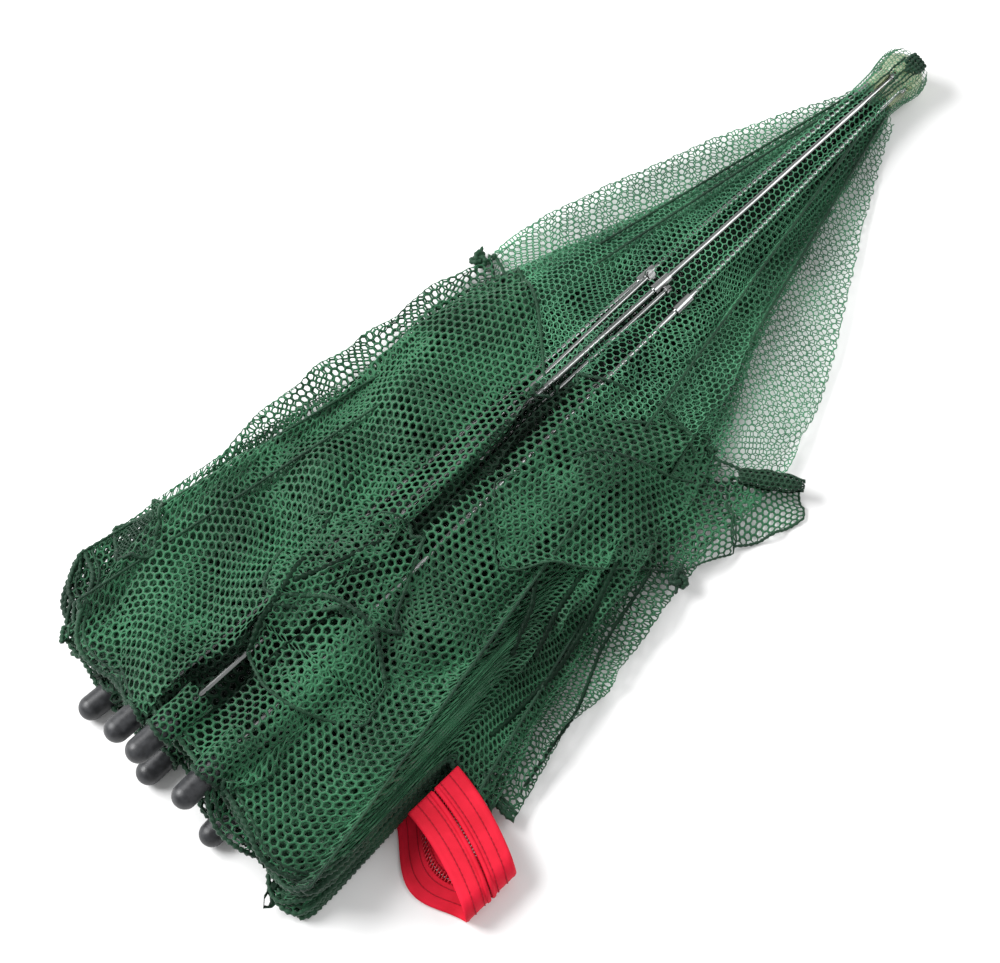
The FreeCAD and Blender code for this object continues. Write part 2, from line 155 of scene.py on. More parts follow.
def ramp(tree, source, stops):
    """Colours in stops of (place, colour), looked up with the source."""
    made = tree.nodes.new("ShaderNodeValToRGB")
    elements = made.color_ramp.elements
    while len(elements) < len(stops):
        elements.new(0.5)
    for element, (at, colour) in zip(elements, stops):
        element.position = at
        element.color = (*colour, 1)
    tree.links.new(source, made.inputs[0])
    return made.outputs[0]


def tint(tree, shader, source, *stops):
    tree.links.new(ramp(tree, source, stops), shader.inputs["Base Color"])


def roughen(tree, shader, source, *stops):
    tree.links.new(ramp(tree, source, [(at, (rough,) * 3) for at, rough in stops]), shader.inputs["Roughness"])


def bump(tree, shader, source, strength, distance):
    made = node(tree, "Bump", Strength=strength, Distance=distance)
    tree.links.new(source, made.inputs["Height"])
    tree.links.new(made.outputs[0], shader.inputs["Normal"])


def net_material(name, dark, light, grain_scale=2340.0, shine=0.45):
    """Knitted nylon: two greens that drift over the cloth, and a fine knitted grain along the strands."""
    mat, tree, shader = material(name, Sheen_Weight=0.5 * shine, Sheen_Roughness=0.4, Specular_IOR_Level=shine)
    tint(tree, shader, noise(tree, 38.0, 3.0), (0.36, dark), (0.66, light))
    grain = noise(tree, grain_scale, 2.0)
    roughen(tree, shader, grain, (0.3, 0.42), (0.7, 0.62))
    bump(tree, shader, grain, 0.5, 0.0003)
    return mat


def steel_material(name):
    """Bright drawn wire: fine scratches along its length and slightly uneven plating."""
    mat, tree, shader = material(name, Metallic=1.0)
    streak = noise(tree, 900.0, 3.0, (0.02, 1.0, 1.0))
    tint(tree, shader, streak, (0.3, (0.24, 0.25, 0.25)), (0.7, (0.5, 0.51, 0.5)))
    roughen(tree, shader, streak, (0.3, 0.14), (0.75, 0.26))
    bump(tree, shader, streak, 0.15, 0.0001)
    return mat


def rubber_material():
    """Matt black rubber with a fine moulded grain and a little dust."""
    mat, tree, shader = material("black_rubber")
    dust = noise(tree, 420.0, 5.0)
    tint(tree, shader, dust, (0.35, (0.012, 0.013, 0.015)), (0.75, (0.035, 0.037, 0.041)))
    roughen(tree, shader, dust, (0.3, 0.36), (0.7, 0.5))
    bump(tree, shader, noise(tree, 3000.0, 2.0), 0.2, 0.0002)
    return mat


def plastic_material(name, dark, light, roughness, see_through=0.0):
    """Moulded plastic: faint flow marks in the colour and a lightly rippled surface."""
    mat, tree, shader = material(name, Transmission_Weight=see_through)
    tint(tree, shader, noise(tree, 120.0, 3.0, (1.0, 1.0, 2.5)), (0.3, dark), (0.7, light))
    spots = noise(tree, 700.0, 2.0)
    roughen(tree, shader, spots, (0.3, roughness * 0.8), (0.7, roughness * 1.3))
    bump(tree, shader, spots, 0.1, 0.0002)
    return mat


WAVE_CYCLES = 3.2  # ribs in one unit of a wave texture's scale


def woven_material(name, dark, light, pitch):
    """Woven tape: a diagonal twill of fine ribs, over a slow change of shade."""
    mat, tree, shader = material(name, Roughness=0.66, Specular_IOR_Level=0.2)
    place = tree.nodes.new("ShaderNodeTexCoord")
    turn = node(tree, "Mapping", Rotation=(0, 0, math.radians(38)))
    tree.links.new(place.outputs["Object"], turn.inputs[0])
    ribs = node(tree, "TexWave", Scale=1 / pitch / WAVE_CYCLES, Distortion=1.2, Detail=2.0)
    tree.links.new(turn.outputs[0], ribs.inputs["Vector"])
    shade = noise(tree, 90.0, 3.0)
    mix = node(tree, "Mix", data_type="RGBA", blend_type="MULTIPLY")
    tree.links.new(ramp(tree, shade, [(0.3, dark), (0.7, light)]), mix.inputs[6])
    tree.links.new(ramp(tree, ribs.outputs[0], [(0.0, (0.84,) * 3), (1.0, (1.0,) * 3)]), mix.inputs[7])
    mix.inputs[0].default_value = 1.0
    tree.links.new(mix.outputs[2], shader.inputs["Base Color"])
    bump(tree, shader, ribs.outputs[0], 0.3, 0.0002)
    return mat


GREEN = net_material("net_green", (0.024, 0.145, 0.068), (0.064, 0.27, 0.135))
LOW_GREEN = net_material("net_lower", (0.009, 0.066, 0.027), (0.026, 0.14, 0.062), shine=0.3)
# painted shade: a near-black green that stands in for the shadow inside the bundle, in the top sheets' pleats and in
# the tucks
PAINTED_SHADE_GREEN = net_material("net_painted_shade", (0.0015, 0.010, 0.0045), (0.005, 0.026, 0.012), shine=0.1)
TRIM = net_material("net_trim", (0.003, 0.024, 0.011), (0.012, 0.06, 0.027), 4500.0, 0.25)
STEEL = steel_material("drawn_wire")
RUBBER = rubber_material()
CROWN_PLASTIC = plastic_material("crown_plastic", (0.66, 0.78, 0.5), (0.82, 0.9, 0.68), 0.22, 0.6)
RUNNER_PLASTIC = plastic_material("runner_plastic", (0.02, 0.024, 0.024), (0.05, 0.055, 0.055), 0.42)
RED_TAPE = woven_material("red_tape", (0.6, 0.004, 0.022), (0.8, 0.01, 0.04), 0.00035)
RED_COIL = plastic_material("red_coil", (0.5, 0.006, 0.022), (0.66, 0.015, 0.04), 0.35)
RED_THREAD = woven_material("red_thread", (0.33, 0.004, 0.016), (0.46, 0.008, 0.026), 0.0004)
ZIP_METAL = steel_material("zipper_metal")


LOOKS = {"rib_cap_": RUBBER, "rib_": STEEL, "stretcher_": STEEL, "crown_pins": STEEL, "crown_hub": CROWN_PLASTIC,
         "runner": RUNNER_PLASTIC, "zipper_slider": ZIP_METAL, "zipper_puller": ZIP_METAL,
         "zipper_end_stop": ZIP_METAL}
for name, thing in frame["nodes"].items():
    look = next((mat for start, mat in LOOKS.items() if name.startswith(start)), None)
    if look:
        for slot in thing.material_slots:
            slot.material = look


# ---------------------------------------------------------------- mesh helpers


def new_piece(name, points, faces, mat):
    """A mesh object from points in millimetres."""
    mesh = bpy.data.meshes.new(name)
    mesh.from_pydata((np.asarray(points) * MM).tolist(), [], [tuple(map(int, f)) for f in faces])
    mesh.materials.append(mat)
    mesh.polygons.foreach_set("use_smooth", [True] * len(mesh.polygons))
    mesh.update()
    piece = bpy.data.objects.new(name, mesh)
    bpy.context.scene.collection.objects.link(piece)
    return piece


def riding_piece(name, points, faces, mat, body, slot="net_green", replaces=None):
    """A piece that moves with one body."""
    piece = new_piece(name, points, faces, mat)
    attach(piece, body)
    if replaces:
        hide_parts(replaces)
    return piece


def blend_across(piece, across):
    count = len(piece.data.vertices)
    folded = np.zeros(count * 3, np.float32)
    piece.data.vertices.foreach_get("co", folded)
    flat = np.zeros((count, 3), np.float32)
    flat[:, 0] = 0.5 - np.sin(np.arcsin(np.clip(1 - 2 * np.asarray(across, float), -1, 1)) / 3)
    piece.data.vertices.foreach_set("co", flat.ravel())
    piece.data.update()
    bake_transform(piece)
    piece.data.vertices.foreach_set("co", folded)
    piece.data.update()


def lengths_along(path):
    return np.concatenate([[0], np.cumsum(np.linalg.norm(np.diff(path, axis=0), axis=1))])


def between(at, known, path):
    """Points of the path at places between those that its own points are at."""
    return np.stack([np.interp(at, known, column) for column in path.T], 1)


def skin(rings):
    """Points and faces of a closed skin over rings of points."""
    count, sides = rings.shape[:2]
    at = np.arange(count * sides).reshape(count, sides)
    after = np.roll(at, -1, axis=1)
    walls = np.stack([at[:-1], after[:-1], after[1:], at[1:]], -1).reshape(-1, 4)
    return rings.reshape(-1, 3), walls.tolist() + [at[0, ::-1].tolist(), at[-1].tolist()]


SIDES = 6


def tube(path, radius, sides=SIDES, ripple=0.0, wave=2.4, flat=1.0):
    """Points and faces of a closed tube along a path. ripple swells it every wave millimetres, like stitches."""
    ahead = np.gradient(path, axis=0)
    ahead /= np.linalg.norm(ahead, axis=1)[:, None] + 1e-9
    side = np.cross(ahead, (0, 0, 1.0))
    side /= np.linalg.norm(side, axis=1)[:, None] + 1e-9
    up = np.cross(side, ahead)
    size = radius * (1 + ripple * np.sin(2 * np.pi * lengths_along(path) / wave))
    size[[0, -1]] *= 0.5
    turns = 2 * np.pi * np.arange(sides) / sides
    return skin(np.stack([path + (side * np.cos(a) + up * np.sin(a) * flat) * size[:, None] for a in turns], 1))


def joined(parts):
    """One set of points and faces from several."""
    points, faces, start = [], [], 0
    for p, f in parts:
        points.append(np.asarray(p, float))
        faces += [tuple(i + start for i in face) for face in f]
        start += len(p)
    return np.concatenate(points), faces


def resampled(path, step):
    """The path in even steps, and each point's share of its length."""
    length = lengths_along(path)
    at = np.linspace(0, length[-1], max(3, int(length[-1] / step)))
    return between(at, length, path), at / length[-1]


CORD_STEP = 0.8


def make_cords(name, cords, mat):
    """Cords on a half gore's cloth. Each has a path, its points' shares of the way across the cloth, a radius, a
    ripple and the ripple's length."""
    tubes = [tube(path, radius, ripple=ripple, wave=wave) for path, _, radius, ripple, wave in cords]
    piece = new_piece(name, *joined(tubes), mat)
    blend_across(piece, np.concatenate([np.repeat(cord[1], SIDES) for cord in cords]))
    return piece


# ---------------------------------------------------------------- the folded netting

# Each half gore runs from its rib (column 0) to the gore's seam (last column). Its cloth rises to a crest beside the
# rib, goes out past the seam to an outer fold, back in to an inner one, and out to the seam. The inner sheets are the
# funnels' netting, coloured near black as painted shade for the shadowed inside of the bundle: they hang from the
# same ribs but stay near the bundle's middle. A relaxation then lets the cloth sag and wrinkle.
ROWS, COLS = 90, 34
START, END = 9.0, 405.0  # of the cloth, from the crown
SEAM_LENGTH = 397.0
FULL_REACH = 300  # where the bundle has its full thickness
CAP_START, CAP_LENGTH, OVER_CAP = 385, 12, 4.2  # where the cloth rises onto a cap, and by how much
ABOVE_RIB = 1.7
EASE = 1.08  # the cloth's width over what the open trap needs

# Distances from the crown, and how far from the axis each half gore's outer fold is there.
STATIONS = np.array([0.0, 60, 110, 160, 200, 250, 300, 350, 400])
OUTER_FOLD = {
    "1a": (4, 16, 30, 44, 60, 60, 68, 76, 62), "1b": (4, 17, 32, 47, 63, 62, 69, 78, 64),
    "2a": (5, 33, 50, 66, 72, 76, 86, 82, 70), "2b": (4, 15, 30, 46, 66, 60, 66, 76, 70),
    "3a": (4, 14, 27, 44, 68, 62, 67, 76, 64), "3b": (4, 14, 27, 45, 70, 61, 68, 77, 62),
    "4a": (4, 15, 31, 54, 70, 66, 70, 76, 80), "4b": (4, 13, 24, 50, 74, 74, 80, 88, 88),
    "5a": (4, 15, 27, 54, 78, 80, 92, 106, 118), "5b": (4, 16, 28, 56, 82, 82, 94, 108, 122),
    "6a": (6, 36, 63, 96, 86, 96, 113, 121, 130), "6b": (4, 17, 30, 58, 80, 80, 88, 98, 106),
}
INNER_FOLD = {
    "2b": (4, 12, 20, 32, 42, 50, 56, 62, 56), "3a": (4, 12, 20, 32, 44, 46, 52, 58, 50),
    "3b": (4, 10, 18, 30, 40, 40, 46, 50, 44), "4a": (4, 10, 18, 32, 42, 46, 52, 58, 54),
    "4b": (4, 10, 17, 30, 46, 54, 62, 66, 60), "5a": (4, 11, 19, 32, 50, 60, 68, 74, 66),
}
# The height on which each half gore lies, near its hem.
BASE = {"1a": 0.7, "6b": 1.0, "1b": 2.5, "6a": 3.0, "2a": 5.0, "5b": 5.5, "2b": 8.0, "5a": 8.5, "3a": 11.0,
        "4b": 12.0, "3b": 14.0, "4a": 15.0}
# The two top sheets part in a gap: how far from the rib their crests lie, and how deep the cloth dips before them.
CREST_AT = {"3b": (1, 2, 1, 0, -2, -5, -7, 0, 17), "4a": (1, 3, 4, 5, 7, 11, 14, 12, 7)}
DIP = {"3b": (0, 0, 0, 0, 0, 0, 0, 18, 24), "4a": (0, 0, 0, 2, 14, 20, 20, 24, 24)}
# Elsewhere each crest and dip has this size, and a crest lies this far over its rib: on top, at the sides, inside.
CREST, SHALLOW = 5.0, 1.5
LIFT_TOP, LIFT_SIDE, LIFT_INSIDE = 4.5, 0.5, -4
MOUND = 0.55  # how far from the crest to the outer fold the cloth's back lies
GORE_ANGLE = 0.4478  # half the angle between two ribs when the trap is open at 60 degrees

# Name, half gore, folds, share of the way to the seam at its edge, height, and share of the gore's motion there.
SHEETS = [(f"netting_{half}", half, OUTER_FOLD[half], 1.0, BASE[half], 1.0) for half in HALVES]
SHEETS += [(f"funnel_net_{half}", half, fold, 0.45, max(BASE[half] - 4, 3), 0.5)
           for half, fold in INNER_FOLD.items()]


def rib_line(n, distance):
    return HINGE[n] + np.outer(distance, RIB_DIR[n])


def first_shape():
    """Points of all sheets before the relaxation, each row's width of cloth, the rows' distances from the crown and
    the crests' share of the width."""
    points = np.zeros((len(SHEETS), ROWS, COLS, 3))
    widths = np.zeros((len(SHEETS), ROWS))
    crests = np.zeros((len(SHEETS), ROWS))
    share = np.linspace(0, 1, COLS)
    reach_rows = np.linspace(START, END, ROWS)
    for h, (_, half, outer, seam_share, low, _) in enumerate(SHEETS):
        gore, n = int(half[0]), rib_of(half)
        out = 1.0 if gore <= 3 else -1.0
        crown_end = (HINGE[gore] + HINGE[gore % 6 + 1]) / 2
        seam_end = np.array([HEM_X, CROWN[1] + SEAM_Y[gore] * seam_share, SEAM_Z[gore]])
        ribs = rib_line(n, reach_rows)
        over_cap = np.clip((reach_rows - CAP_START) / CAP_LENGTH, 0, 1)
        ribs[:, 2] += ABOVE_RIB + OVER_CAP * over_cap ** 2 * (3 - 2 * over_cap)
        seam = crown_end + np.outer(reach_rows / SEAM_LENGTH, seam_end - crown_end)
        fold = np.interp(reach_rows, STATIONS, outer)
        fold = np.convolve(np.pad(fold, 3, mode="edge"), np.ones(7) / 7, mode="valid")
        y_rib, y_seam = (ribs[:, 1] - CROWN[1]) * out, (seam[:, 1] - CROWN[1]) * out
        fold = np.maximum(fold, np.maximum(y_rib, y_seam) + 1.0)
        slack = GORE_ANGLE * reach_rows * EASE * seam_share
        width = np.maximum(slack, (2 * fold - y_rib - y_seam) * 1.05)
        back = np.clip((2 * fold - y_rib + y_seam - width) / 2, y_rib - 6, fold)
        back = np.minimum(back, y_seam)
        ramp_up = np.clip(reach_rows / FULL_REACH, 0.1, 1.0)
        base = low * ramp_up
        on_top = half in CREST_AT and seam_share == 1
        crest = np.interp(reach_rows, STATIONS, CREST_AT[half]) if on_top else CREST * ramp_up
        dip = np.interp(reach_rows, STATIONS, DIP[half]) if on_top else SHALLOW * ramp_up
        lift = (LIFT_INSIDE if seam_share < 1 else LIFT_TOP if on_top else LIFT_SIDE) * ramp_up
        for i in range(ROWS):
            y_crest, rib_z = y_rib[i] + crest[i], ribs[i, 2]
            high_crest = rib_z + lift[i]
            y_mound = y_crest * (1 - MOUND) + fold[i] * MOUND
            z_mound = high_crest * 0.62 + base[i] * 0.38 + 1.0
            y_dip = y_crest - np.sign(crest[i] + 1e-6) * min(abs(crest[i]), CREST) * 0.7
            stops = np.array([y_rib[i], y_dip, y_crest, y_mound, fold[i], back[i], y_seam[i]])
            high = np.array([rib_z, rib_z - dip[i], high_crest, z_mound, base[i] + 3.5, base[i] + 2.0, seam[i, 2]])
            steps = np.hypot(np.diff(stops), np.diff(high)) + 0.3
            long = np.concatenate([[0], np.cumsum(steps)])
            at = share * long[-1]
            points[h, i, :, 1] = CROWN[1] + out * np.interp(at, long, stops)
            points[h, i, :, 2] = np.interp(at, long, high)
            points[h, i, :, 0] = ribs[i, 0] * (1 - share) + seam[i, 0] * share
            widths[h, i] = max(width[i], long[-1])
            crests[h, i] = long[2] / long[-1]
        points[h, :, 0] = ribs
        points[h, :, -1] = seam
    return points, widths, reach_rows, crests


STEPS, PASSES = 150, 3
FALL, CARRY = 0.12, 0.9  # how far the cloth falls in a step, and how much of its speed it keeps
HOLD_BACK, SKEW_GIVE = 0.01, 0.3  # how firmly it keeps its folds, and how much its diagonals resist
SMOOTH_ACROSS, SMOOTH_ALONG = 0.035, 0.05
DROP = 5.0  # the most it sinks from its first shape, at the hem
WAVES, LUMPS = 9, 10
LOWEST = 0.6  # above the floor
# Ribs that show through the top sheets, each with the stretch where the cloth lies over it, and the cloth's tent
# there: its height over the wire's middle and how far it reaches to each side.
SHOWN_RIBS = ((3, 190, 500), (4, 190, 366), (5, 150, 258), (5, 292, 500))
TOP_SHEETS = ("netting_3a", "netting_3b", "netting_4a", "netting_4b")
OVER_WIRE, TENT_TOP, TENT = 2.4, 3, 12
FADE_IN, FADE_OUT, FADE_DOWN = 25, 20, 30


def pull(points, first, second, length, give=1.0):
    """Moves both ends of each link towards its length."""
    d = points[second] - points[first]
    now = np.linalg.norm(d, axis=-1)
    d *= ((now - length) / np.maximum(now, 1e-6) * 0.5 * give)[..., None]
    points[first], points[second] = points[first] + d, points[second] - d


def relax(points, widths, rows):
    """Lets the cloth sag onto what lies below it, hardly stretching, with its rib and seam edges held."""
    step = np.diff(rows)[0]
    across = (widths / (COLS - 1))[:, :, None] * np.ones((1, 1, COLS - 1))
    along = np.full((len(SHEETS), ROWS - 1, COLS), step * 1.02)
    skew = np.sqrt(step ** 2 + ((across[:, :-1] + across[:, 1:]) / 2) ** 2)
    held = points.copy()
    u = np.linspace(0, 1, COLS)[None, None, :]
    r = rows[None, :, None]
    # each sheet starts with waves of its own, and all of them share broad lumps
    for h in range(len(SHEETS)):
        for _ in range(WAVES):
            fu, fr = rng.uniform(1.5, 7.5), rng.uniform(0.003, 0.02)
            phase, size = rng.uniform(0, 6.28, 2), rng.uniform(0.6, 2.0)
            wave = np.sin(fu * np.pi * u[0] + 6.28 * fr * r[0] + phase[0]) * np.sin(6.28 * fr * 0.6 * r[0] + phase[1])
            wave = wave * size * np.clip(r[0] / 200, 0.1, 1) * np.sin(np.pi * u[0])
            points[h, :, :, 2] += wave * 1.6
            points[h, :, :, 1] += wave * 0.8
    before = points.copy()
    heights = np.array([sheet[4] for sheet in SHEETS])
    base = heights[:, None, None] * np.clip(r / FULL_REACH, 0.1, 1.0)
    layer = np.interp(u, [0, 0.4, 0.5, 0.75, 1], [5, 4.5, 2.5, 0.6, 0]) * np.clip(r / 200, 0.15, 1.0)
    floor = np.maximum(base * 0.8 + layer, LOWEST)
    x, y = points[..., 0], points[..., 1]
    lumps = np.zeros(points.shape[:3])
    for _ in range(LUMPS):
        turn, pitch, phase = rng.normal(math.pi / 2, 0.55), rng.uniform(26, 70), rng.uniform(0, 6.28)
        lumps += np.sin(2 * math.pi * (x * math.cos(turn) + y * math.sin(turn)) / pitch + phase) * rng.uniform(0.5, 1)
    thick = np.interp(heights, [0, 6, 15], [0.15, 1.1, 2.1])[:, None, None]
    lumps *= thick * np.clip((r - 60) / 160, 0, 1) * np.sin(np.pi * u) ** 0.5
    points[..., 2] += lumps
    held[..., 2] += lumps
    floor = np.maximum(floor + lumps, LOWEST)
    drop = np.interp(r, [0, 120, 400], [1.0, 2.5, DROP])
    floor = np.maximum(floor, points[..., 2] - drop)
    for _ in range(4):
        floor[:, 1:-1] = (floor[:, :-2] + floor[:, 2:] + 2 * floor[:, 1:-1]) / 4
        floor[:, :, 1:-1] = (floor[:, :, :-2] + floor[:, :, 2:] + 2 * floor[:, :, 1:-1]) / 4
    ribs_below = []
    for n, start, end in SHOWN_RIBS:
        line = rib_line(n, rows)
        shown = np.clip((rows - start) / FADE_IN, 0, 1) * np.clip((end - rows) / FADE_OUT, 0, 1)
        ribs_below.append((line[:, 1], line[:, 2] + OVER_WIRE - FADE_DOWN * (1 - shown)))
    over = [h for h, sheet in enumerate(SHEETS) if sheet[0] in TOP_SHEETS]
    for _ in range(STEPS):
        speed = (points - before) * CARRY
        before = points.copy()
        points = points + speed
        points[..., 2] -= FALL
        points[:, :, 1:-1, 1] += (held[:, :, 1:-1, 1] - points[:, :, 1:-1, 1]) * HOLD_BACK
        for _ in range(PASSES):
            for k in (0, 1):
                pull(points, np.s_[:, :, k:-1:2], np.s_[:, :, k + 1::2], across[:, :, k::2])
            for k in (0, 1):
                pull(points, np.s_[:, k:-1:2], np.s_[:, k + 1::2], along[:, k::2])
            for k in (0, 1):
                pull(points, np.s_[:, k:-1:2, :-1], np.s_[:, k + 1::2, 1:], skew[:, k::2], SKEW_GIVE)
                pull(points, np.s_[:, k:-1:2, 1:], np.s_[:, k + 1::2, :-1], skew[:, k::2], SKEW_GIVE)
            smooth = (points[:, :, :-2] + points[:, :, 2:]) / 2
            points[:, :, 1:-1] += (smooth - points[:, :, 1:-1]) * SMOOTH_ACROSS
            smooth = (points[:, :-2] + points[:, 2:]) / 2
            points[:, 1:-1] += (smooth - points[:, 1:-1]) * SMOOTH_ALONG
            points[..., 2] = np.maximum(points[..., 2], floor)
            for y_line, z_line in ribs_below:
                away = np.abs(points[over, :, :, 1] - y_line[:, None])
                tent = z_line[:, None] - np.maximum(away - TENT_TOP, 0) ** 1.4 * 0.35
                points[over, :, :, 2] = np.maximum(points[over, :, :, 2], np.where(away < TENT, tent, 0))
            points[:, :, 0] = held[:, :, 0]
            points[:, :, -1] = held[:, :, -1]
            points[:, 0] = held[:, 0]
    return points


def cubic(grid, rows, cols):
    """Catmull-Rom values of a grid at fractional rows and columns."""
    rows = np.clip(rows, 0, grid.shape[0] - 1.001)
    cols = np.clip(cols, 0, grid.shape[1] - 1.001)
    i, j = rows.astype(int), cols.astype(int)
    f, g = rows - i, cols - j

    def weights(t):
        return [0.5 * (-t + 2 * t ** 2 - t ** 3), 0.5 * (2 - 5 * t ** 2 + 3 * t ** 3),
                0.5 * (t + 4 * t ** 2 - 3 * t ** 3), 0.5 * (t ** 3 - t ** 2)]

    wi, wj = weights(f), weights(g)
    total = 0
    for a in range(4):
        ia = np.clip(i + a - 1, 0, grid.shape[0] - 1)
        for b in range(4):
            jb = np.clip(j + b - 1, 0, grid.shape[1] - 1)
            total = total + grid[ia, jb] * (wi[a] * wj[b])[:, None]
    return total


def normals_of(grid):
    found = np.cross(np.gradient(grid, axis=0), np.gradient(grid, axis=1))
    return found / (np.linalg.norm(found, axis=-1)[..., None] + 1e-9)


# A hole's size as a share of its cell: in the lower tier, in its sheer parts, in the upper tier and in the funnels.
HOLE, SHEER_HOLE, THIN_HOLE, INNER_HOLE = 0.66, 0.76, 0.82, 0.5
SHEER = ("1b", "2a", "5b", "6a")
OUTER_HOLE = {"5a": 0.87, "5b": 0.87, "6a": 0.85, "6b": 0.86}
STRAND, THINNER = 0.34, 0.75  # half a strand's thickness, and its share round larger holes


def honeycomb(low, high, pitch, inside, hole=HOLE):
    """Flat hexagon cells with a hole each, as a closed sheet of strands.
    Returns flat points, their height above or below the cloth (1, 0 or -1) and faces."""
    radius = pitch / math.sqrt(3)
    row_step = radius * 1.5
    rows = np.arange(math.ceil(low[1] / row_step), math.floor(high[1] / row_step) + 1)
    cells = []
    for row in rows:
        shift = 0.5 * (row % 2)
        cols = np.arange(math.ceil(low[0] / pitch - shift), math.floor(high[0] / pitch - shift) + 1)
        cells.append(np.stack([(cols + shift) * pitch, np.full(len(cols), row * row_step)], 1))
    cells = np.concatenate(cells)
    cells = cells[inside(cells[:, 0], cells[:, 1])]
    turn = np.radians(30 + 60 * np.arange(6))
    ring = np.stack([np.cos(turn), np.sin(turn)], 1) * radius
    outer = (cells[:, None] + ring).reshape(-1, 2)
    inner = (cells[:, None] + ring * hole).reshape(-1, 2)
    key = np.round(outer / radius * 4).astype(np.int64)
    _, first, shared = np.unique(key[:, 0] * 1000003 + key[:, 1], return_index=True, return_inverse=True)
    outer = outer[first]
    count, n = len(outer), len(cells)
    a = shared.reshape(n, 6)
    b = np.roll(a, -1, axis=1)
    c = 2 * count + np.arange(n * 6).reshape(n, 6)
    d = np.roll(c, -1, axis=1)
    top = np.stack([a, b, d, c], -1).reshape(-1, 4)
    bottom = np.stack([b + count, a + count, c, d], -1).reshape(-1, 4)
    edge = np.stack([a, b], -1).reshape(-1, 2)
    low_high = np.sort(edge, axis=1)
    code = low_high[:, 0] * (count + 1) + low_high[:, 1]
    _, where, times = np.unique(code, return_inverse=True, return_counts=True)
    rim = edge[times[where] == 1]
    rims = np.stack([rim[:, 1], rim[:, 0], rim[:, 0] + count, rim[:, 1] + count], -1)
    points = np.concatenate([outer, outer, inner])
    height = np.concatenate([np.ones(count), -np.ones(count), np.zeros(len(inner))])
    return points, height, np.concatenate([top, bottom, rims])


def strand_area(flat, faces):
    """The area of a flat sheet's strands, seen from one side."""
    a, b, c, d = (np.pad(flat, ((0, 0), (0, 1)))[faces[:, k]] for k in range(4))
    both = np.linalg.norm(np.cross(b - a, c - a), axis=1) + np.linalg.norm(np.cross(c - a, d - a), axis=1)
    return both.sum() / 4


# The upper tier of finer netting ends in an arch on each half gore. A tier has its ends and its cells' pitch.
TIER, TIER_ARCH = 212.0, 36.0
TIERS = ((START, TIER, 2.9), (TIER, END, 3.5))
INNER_TIERS = ((START, END, 4.4),)


# How far the outer parts are drawn in, as a share of their distance from the crown, by the angle from its axis in
# degrees: towards the right is negative. It grows from one distance to the other.
DRAWN_ANGLES = [-20, -14, -12.8, -11.4, -10.5, -9, -7, 5, 8, 11, 14]
DRAWN_SHARES = [0.15, 0.16, 0.15, 0.0, -0.012, -0.01, 0.0, 0.0, 0.015, 0.045, 0.09]
DRAWN_FROM, DRAWN_FULL = 200, 400


def drawn_in(points):
    """Pulls the cloth's outer parts towards the crown, where it lies gathered near the hem on each side."""
    off = points - CROWN
    angle = np.degrees(np.arctan2(off[..., 1], -off[..., 0]))
    share = np.interp(angle, DRAWN_ANGLES, DRAWN_SHARES)
    grown = np.clip((np.linalg.norm(off, axis=-1) - DRAWN_FROM) / (DRAWN_FULL - DRAWN_FROM), 0, 1)
    grown = grown ** 2 * (3 - 2 * grown)
    u = np.linspace(0, 1, COLS)[None, :]
    for h in range(len(points)):
        wobble = sum(rng.uniform(0.4, 1) * np.sin(np.pi * rng.uniform(3, 11) * u + rng.uniform(0, 6))
                     for _ in range(4))
        share[h] += 0.011 * wobble * np.sin(np.pi * u) ** 0.5
    return CROWN + off * (1 - share * grown)[..., None]


# The pleats between these sheets' ribs and crests take the near-black netting, from these distances on: painted shade
# in the gap between the top sheets.
SHADED = {"netting_3b": 345, "netting_4a": 195}


def make_net(h, name, half, reach_share):
    """A half gore's netting and its trim, or a funnel's netting, on the folded cloth."""
    funnel = name.startswith("funnel")
    grid, row_widths = points[h], widths[h]
    normal = normals_of(grid)
    span = rows[-1] - rows[0]
    parts, share, reaches, area = [], [], [], 0.0
    for start, end, pitch in INNER_TIERS if funnel else TIERS:

        def inside(x, y, start=start, end=end, pitch=pitch):
            width = np.interp(x, rows, row_widths)
            arch = TIER_ARCH * np.sin(np.pi * np.clip(y / width, 0, 1))
            start = start - arch if start == TIER else start
            end = end - arch if end == TIER else end
            return ((x > start + pitch * 0.5) & (x < end - pitch * 0.3)
                    & (y > pitch * 0.35) & (y < width - pitch * 0.25))

        if funnel:
            hole = INNER_HOLE
        elif end == TIER:
            hole = OUTER_HOLE.get(half, THIN_HOLE)
        else:
            hole = SHEER_HOLE if half in SHEER else HOLE
        flat, height, faces = honeycomb((start - TIER_ARCH, 0.0), (end, row_widths.max()), pitch, inside, hole)
        row = (flat[:, 0] - rows[0]) / span * (ROWS - 1)
        col = np.clip(flat[:, 1] / np.interp(flat[:, 0], rows, row_widths), 0, 1) * (COLS - 1)
        thick = STRAND * (THINNER if hole > HOLE else 1.0)
        place = cubic(grid, row, col) + cubic(normal, row, col) * (height * thick)[:, None]
        parts.append((place, faces.tolist()))
        share.append(col / (COLS - 1))
        reaches.append(flat[:, 0])
        area += strand_area(flat, faces)
    place, faces = joined(parts)
    share = np.concatenate(share)
    # the funnels' netting is near black: painted shade for the bundle's shadowed inside
    net = new_piece(name, place, faces, PAINTED_SHADE_GREEN if funnel else GREEN)
    if not funnel:
        # the lower tier is a darker netting
        net.data.materials.append(LOW_GREEN)
        look = np.repeat(np.arange(len(parts)), [len(part[1]) for part in parts])
        # painted shade: faces between the rib and the crest get the near-black netting
        if name in SHADED:
            net.data.materials.append(PAINTED_SHADE_GREEN)
            at = np.array([face[0] for face in faces])
            reach = np.concatenate(reaches)[at]
            dark = (share[at] < np.interp(reach, rows, crests[h]) - 0.01) & (reach > SHADED[name])
            look = np.where(dark, 2, look)
        net.data.polygons.foreach_set("material_index", look.astype(np.int32))
    blend_across(net, share * reach_share)
    if not funnel:
        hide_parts(f"net_panel_{half}")
        make_trim(grid, half, span)


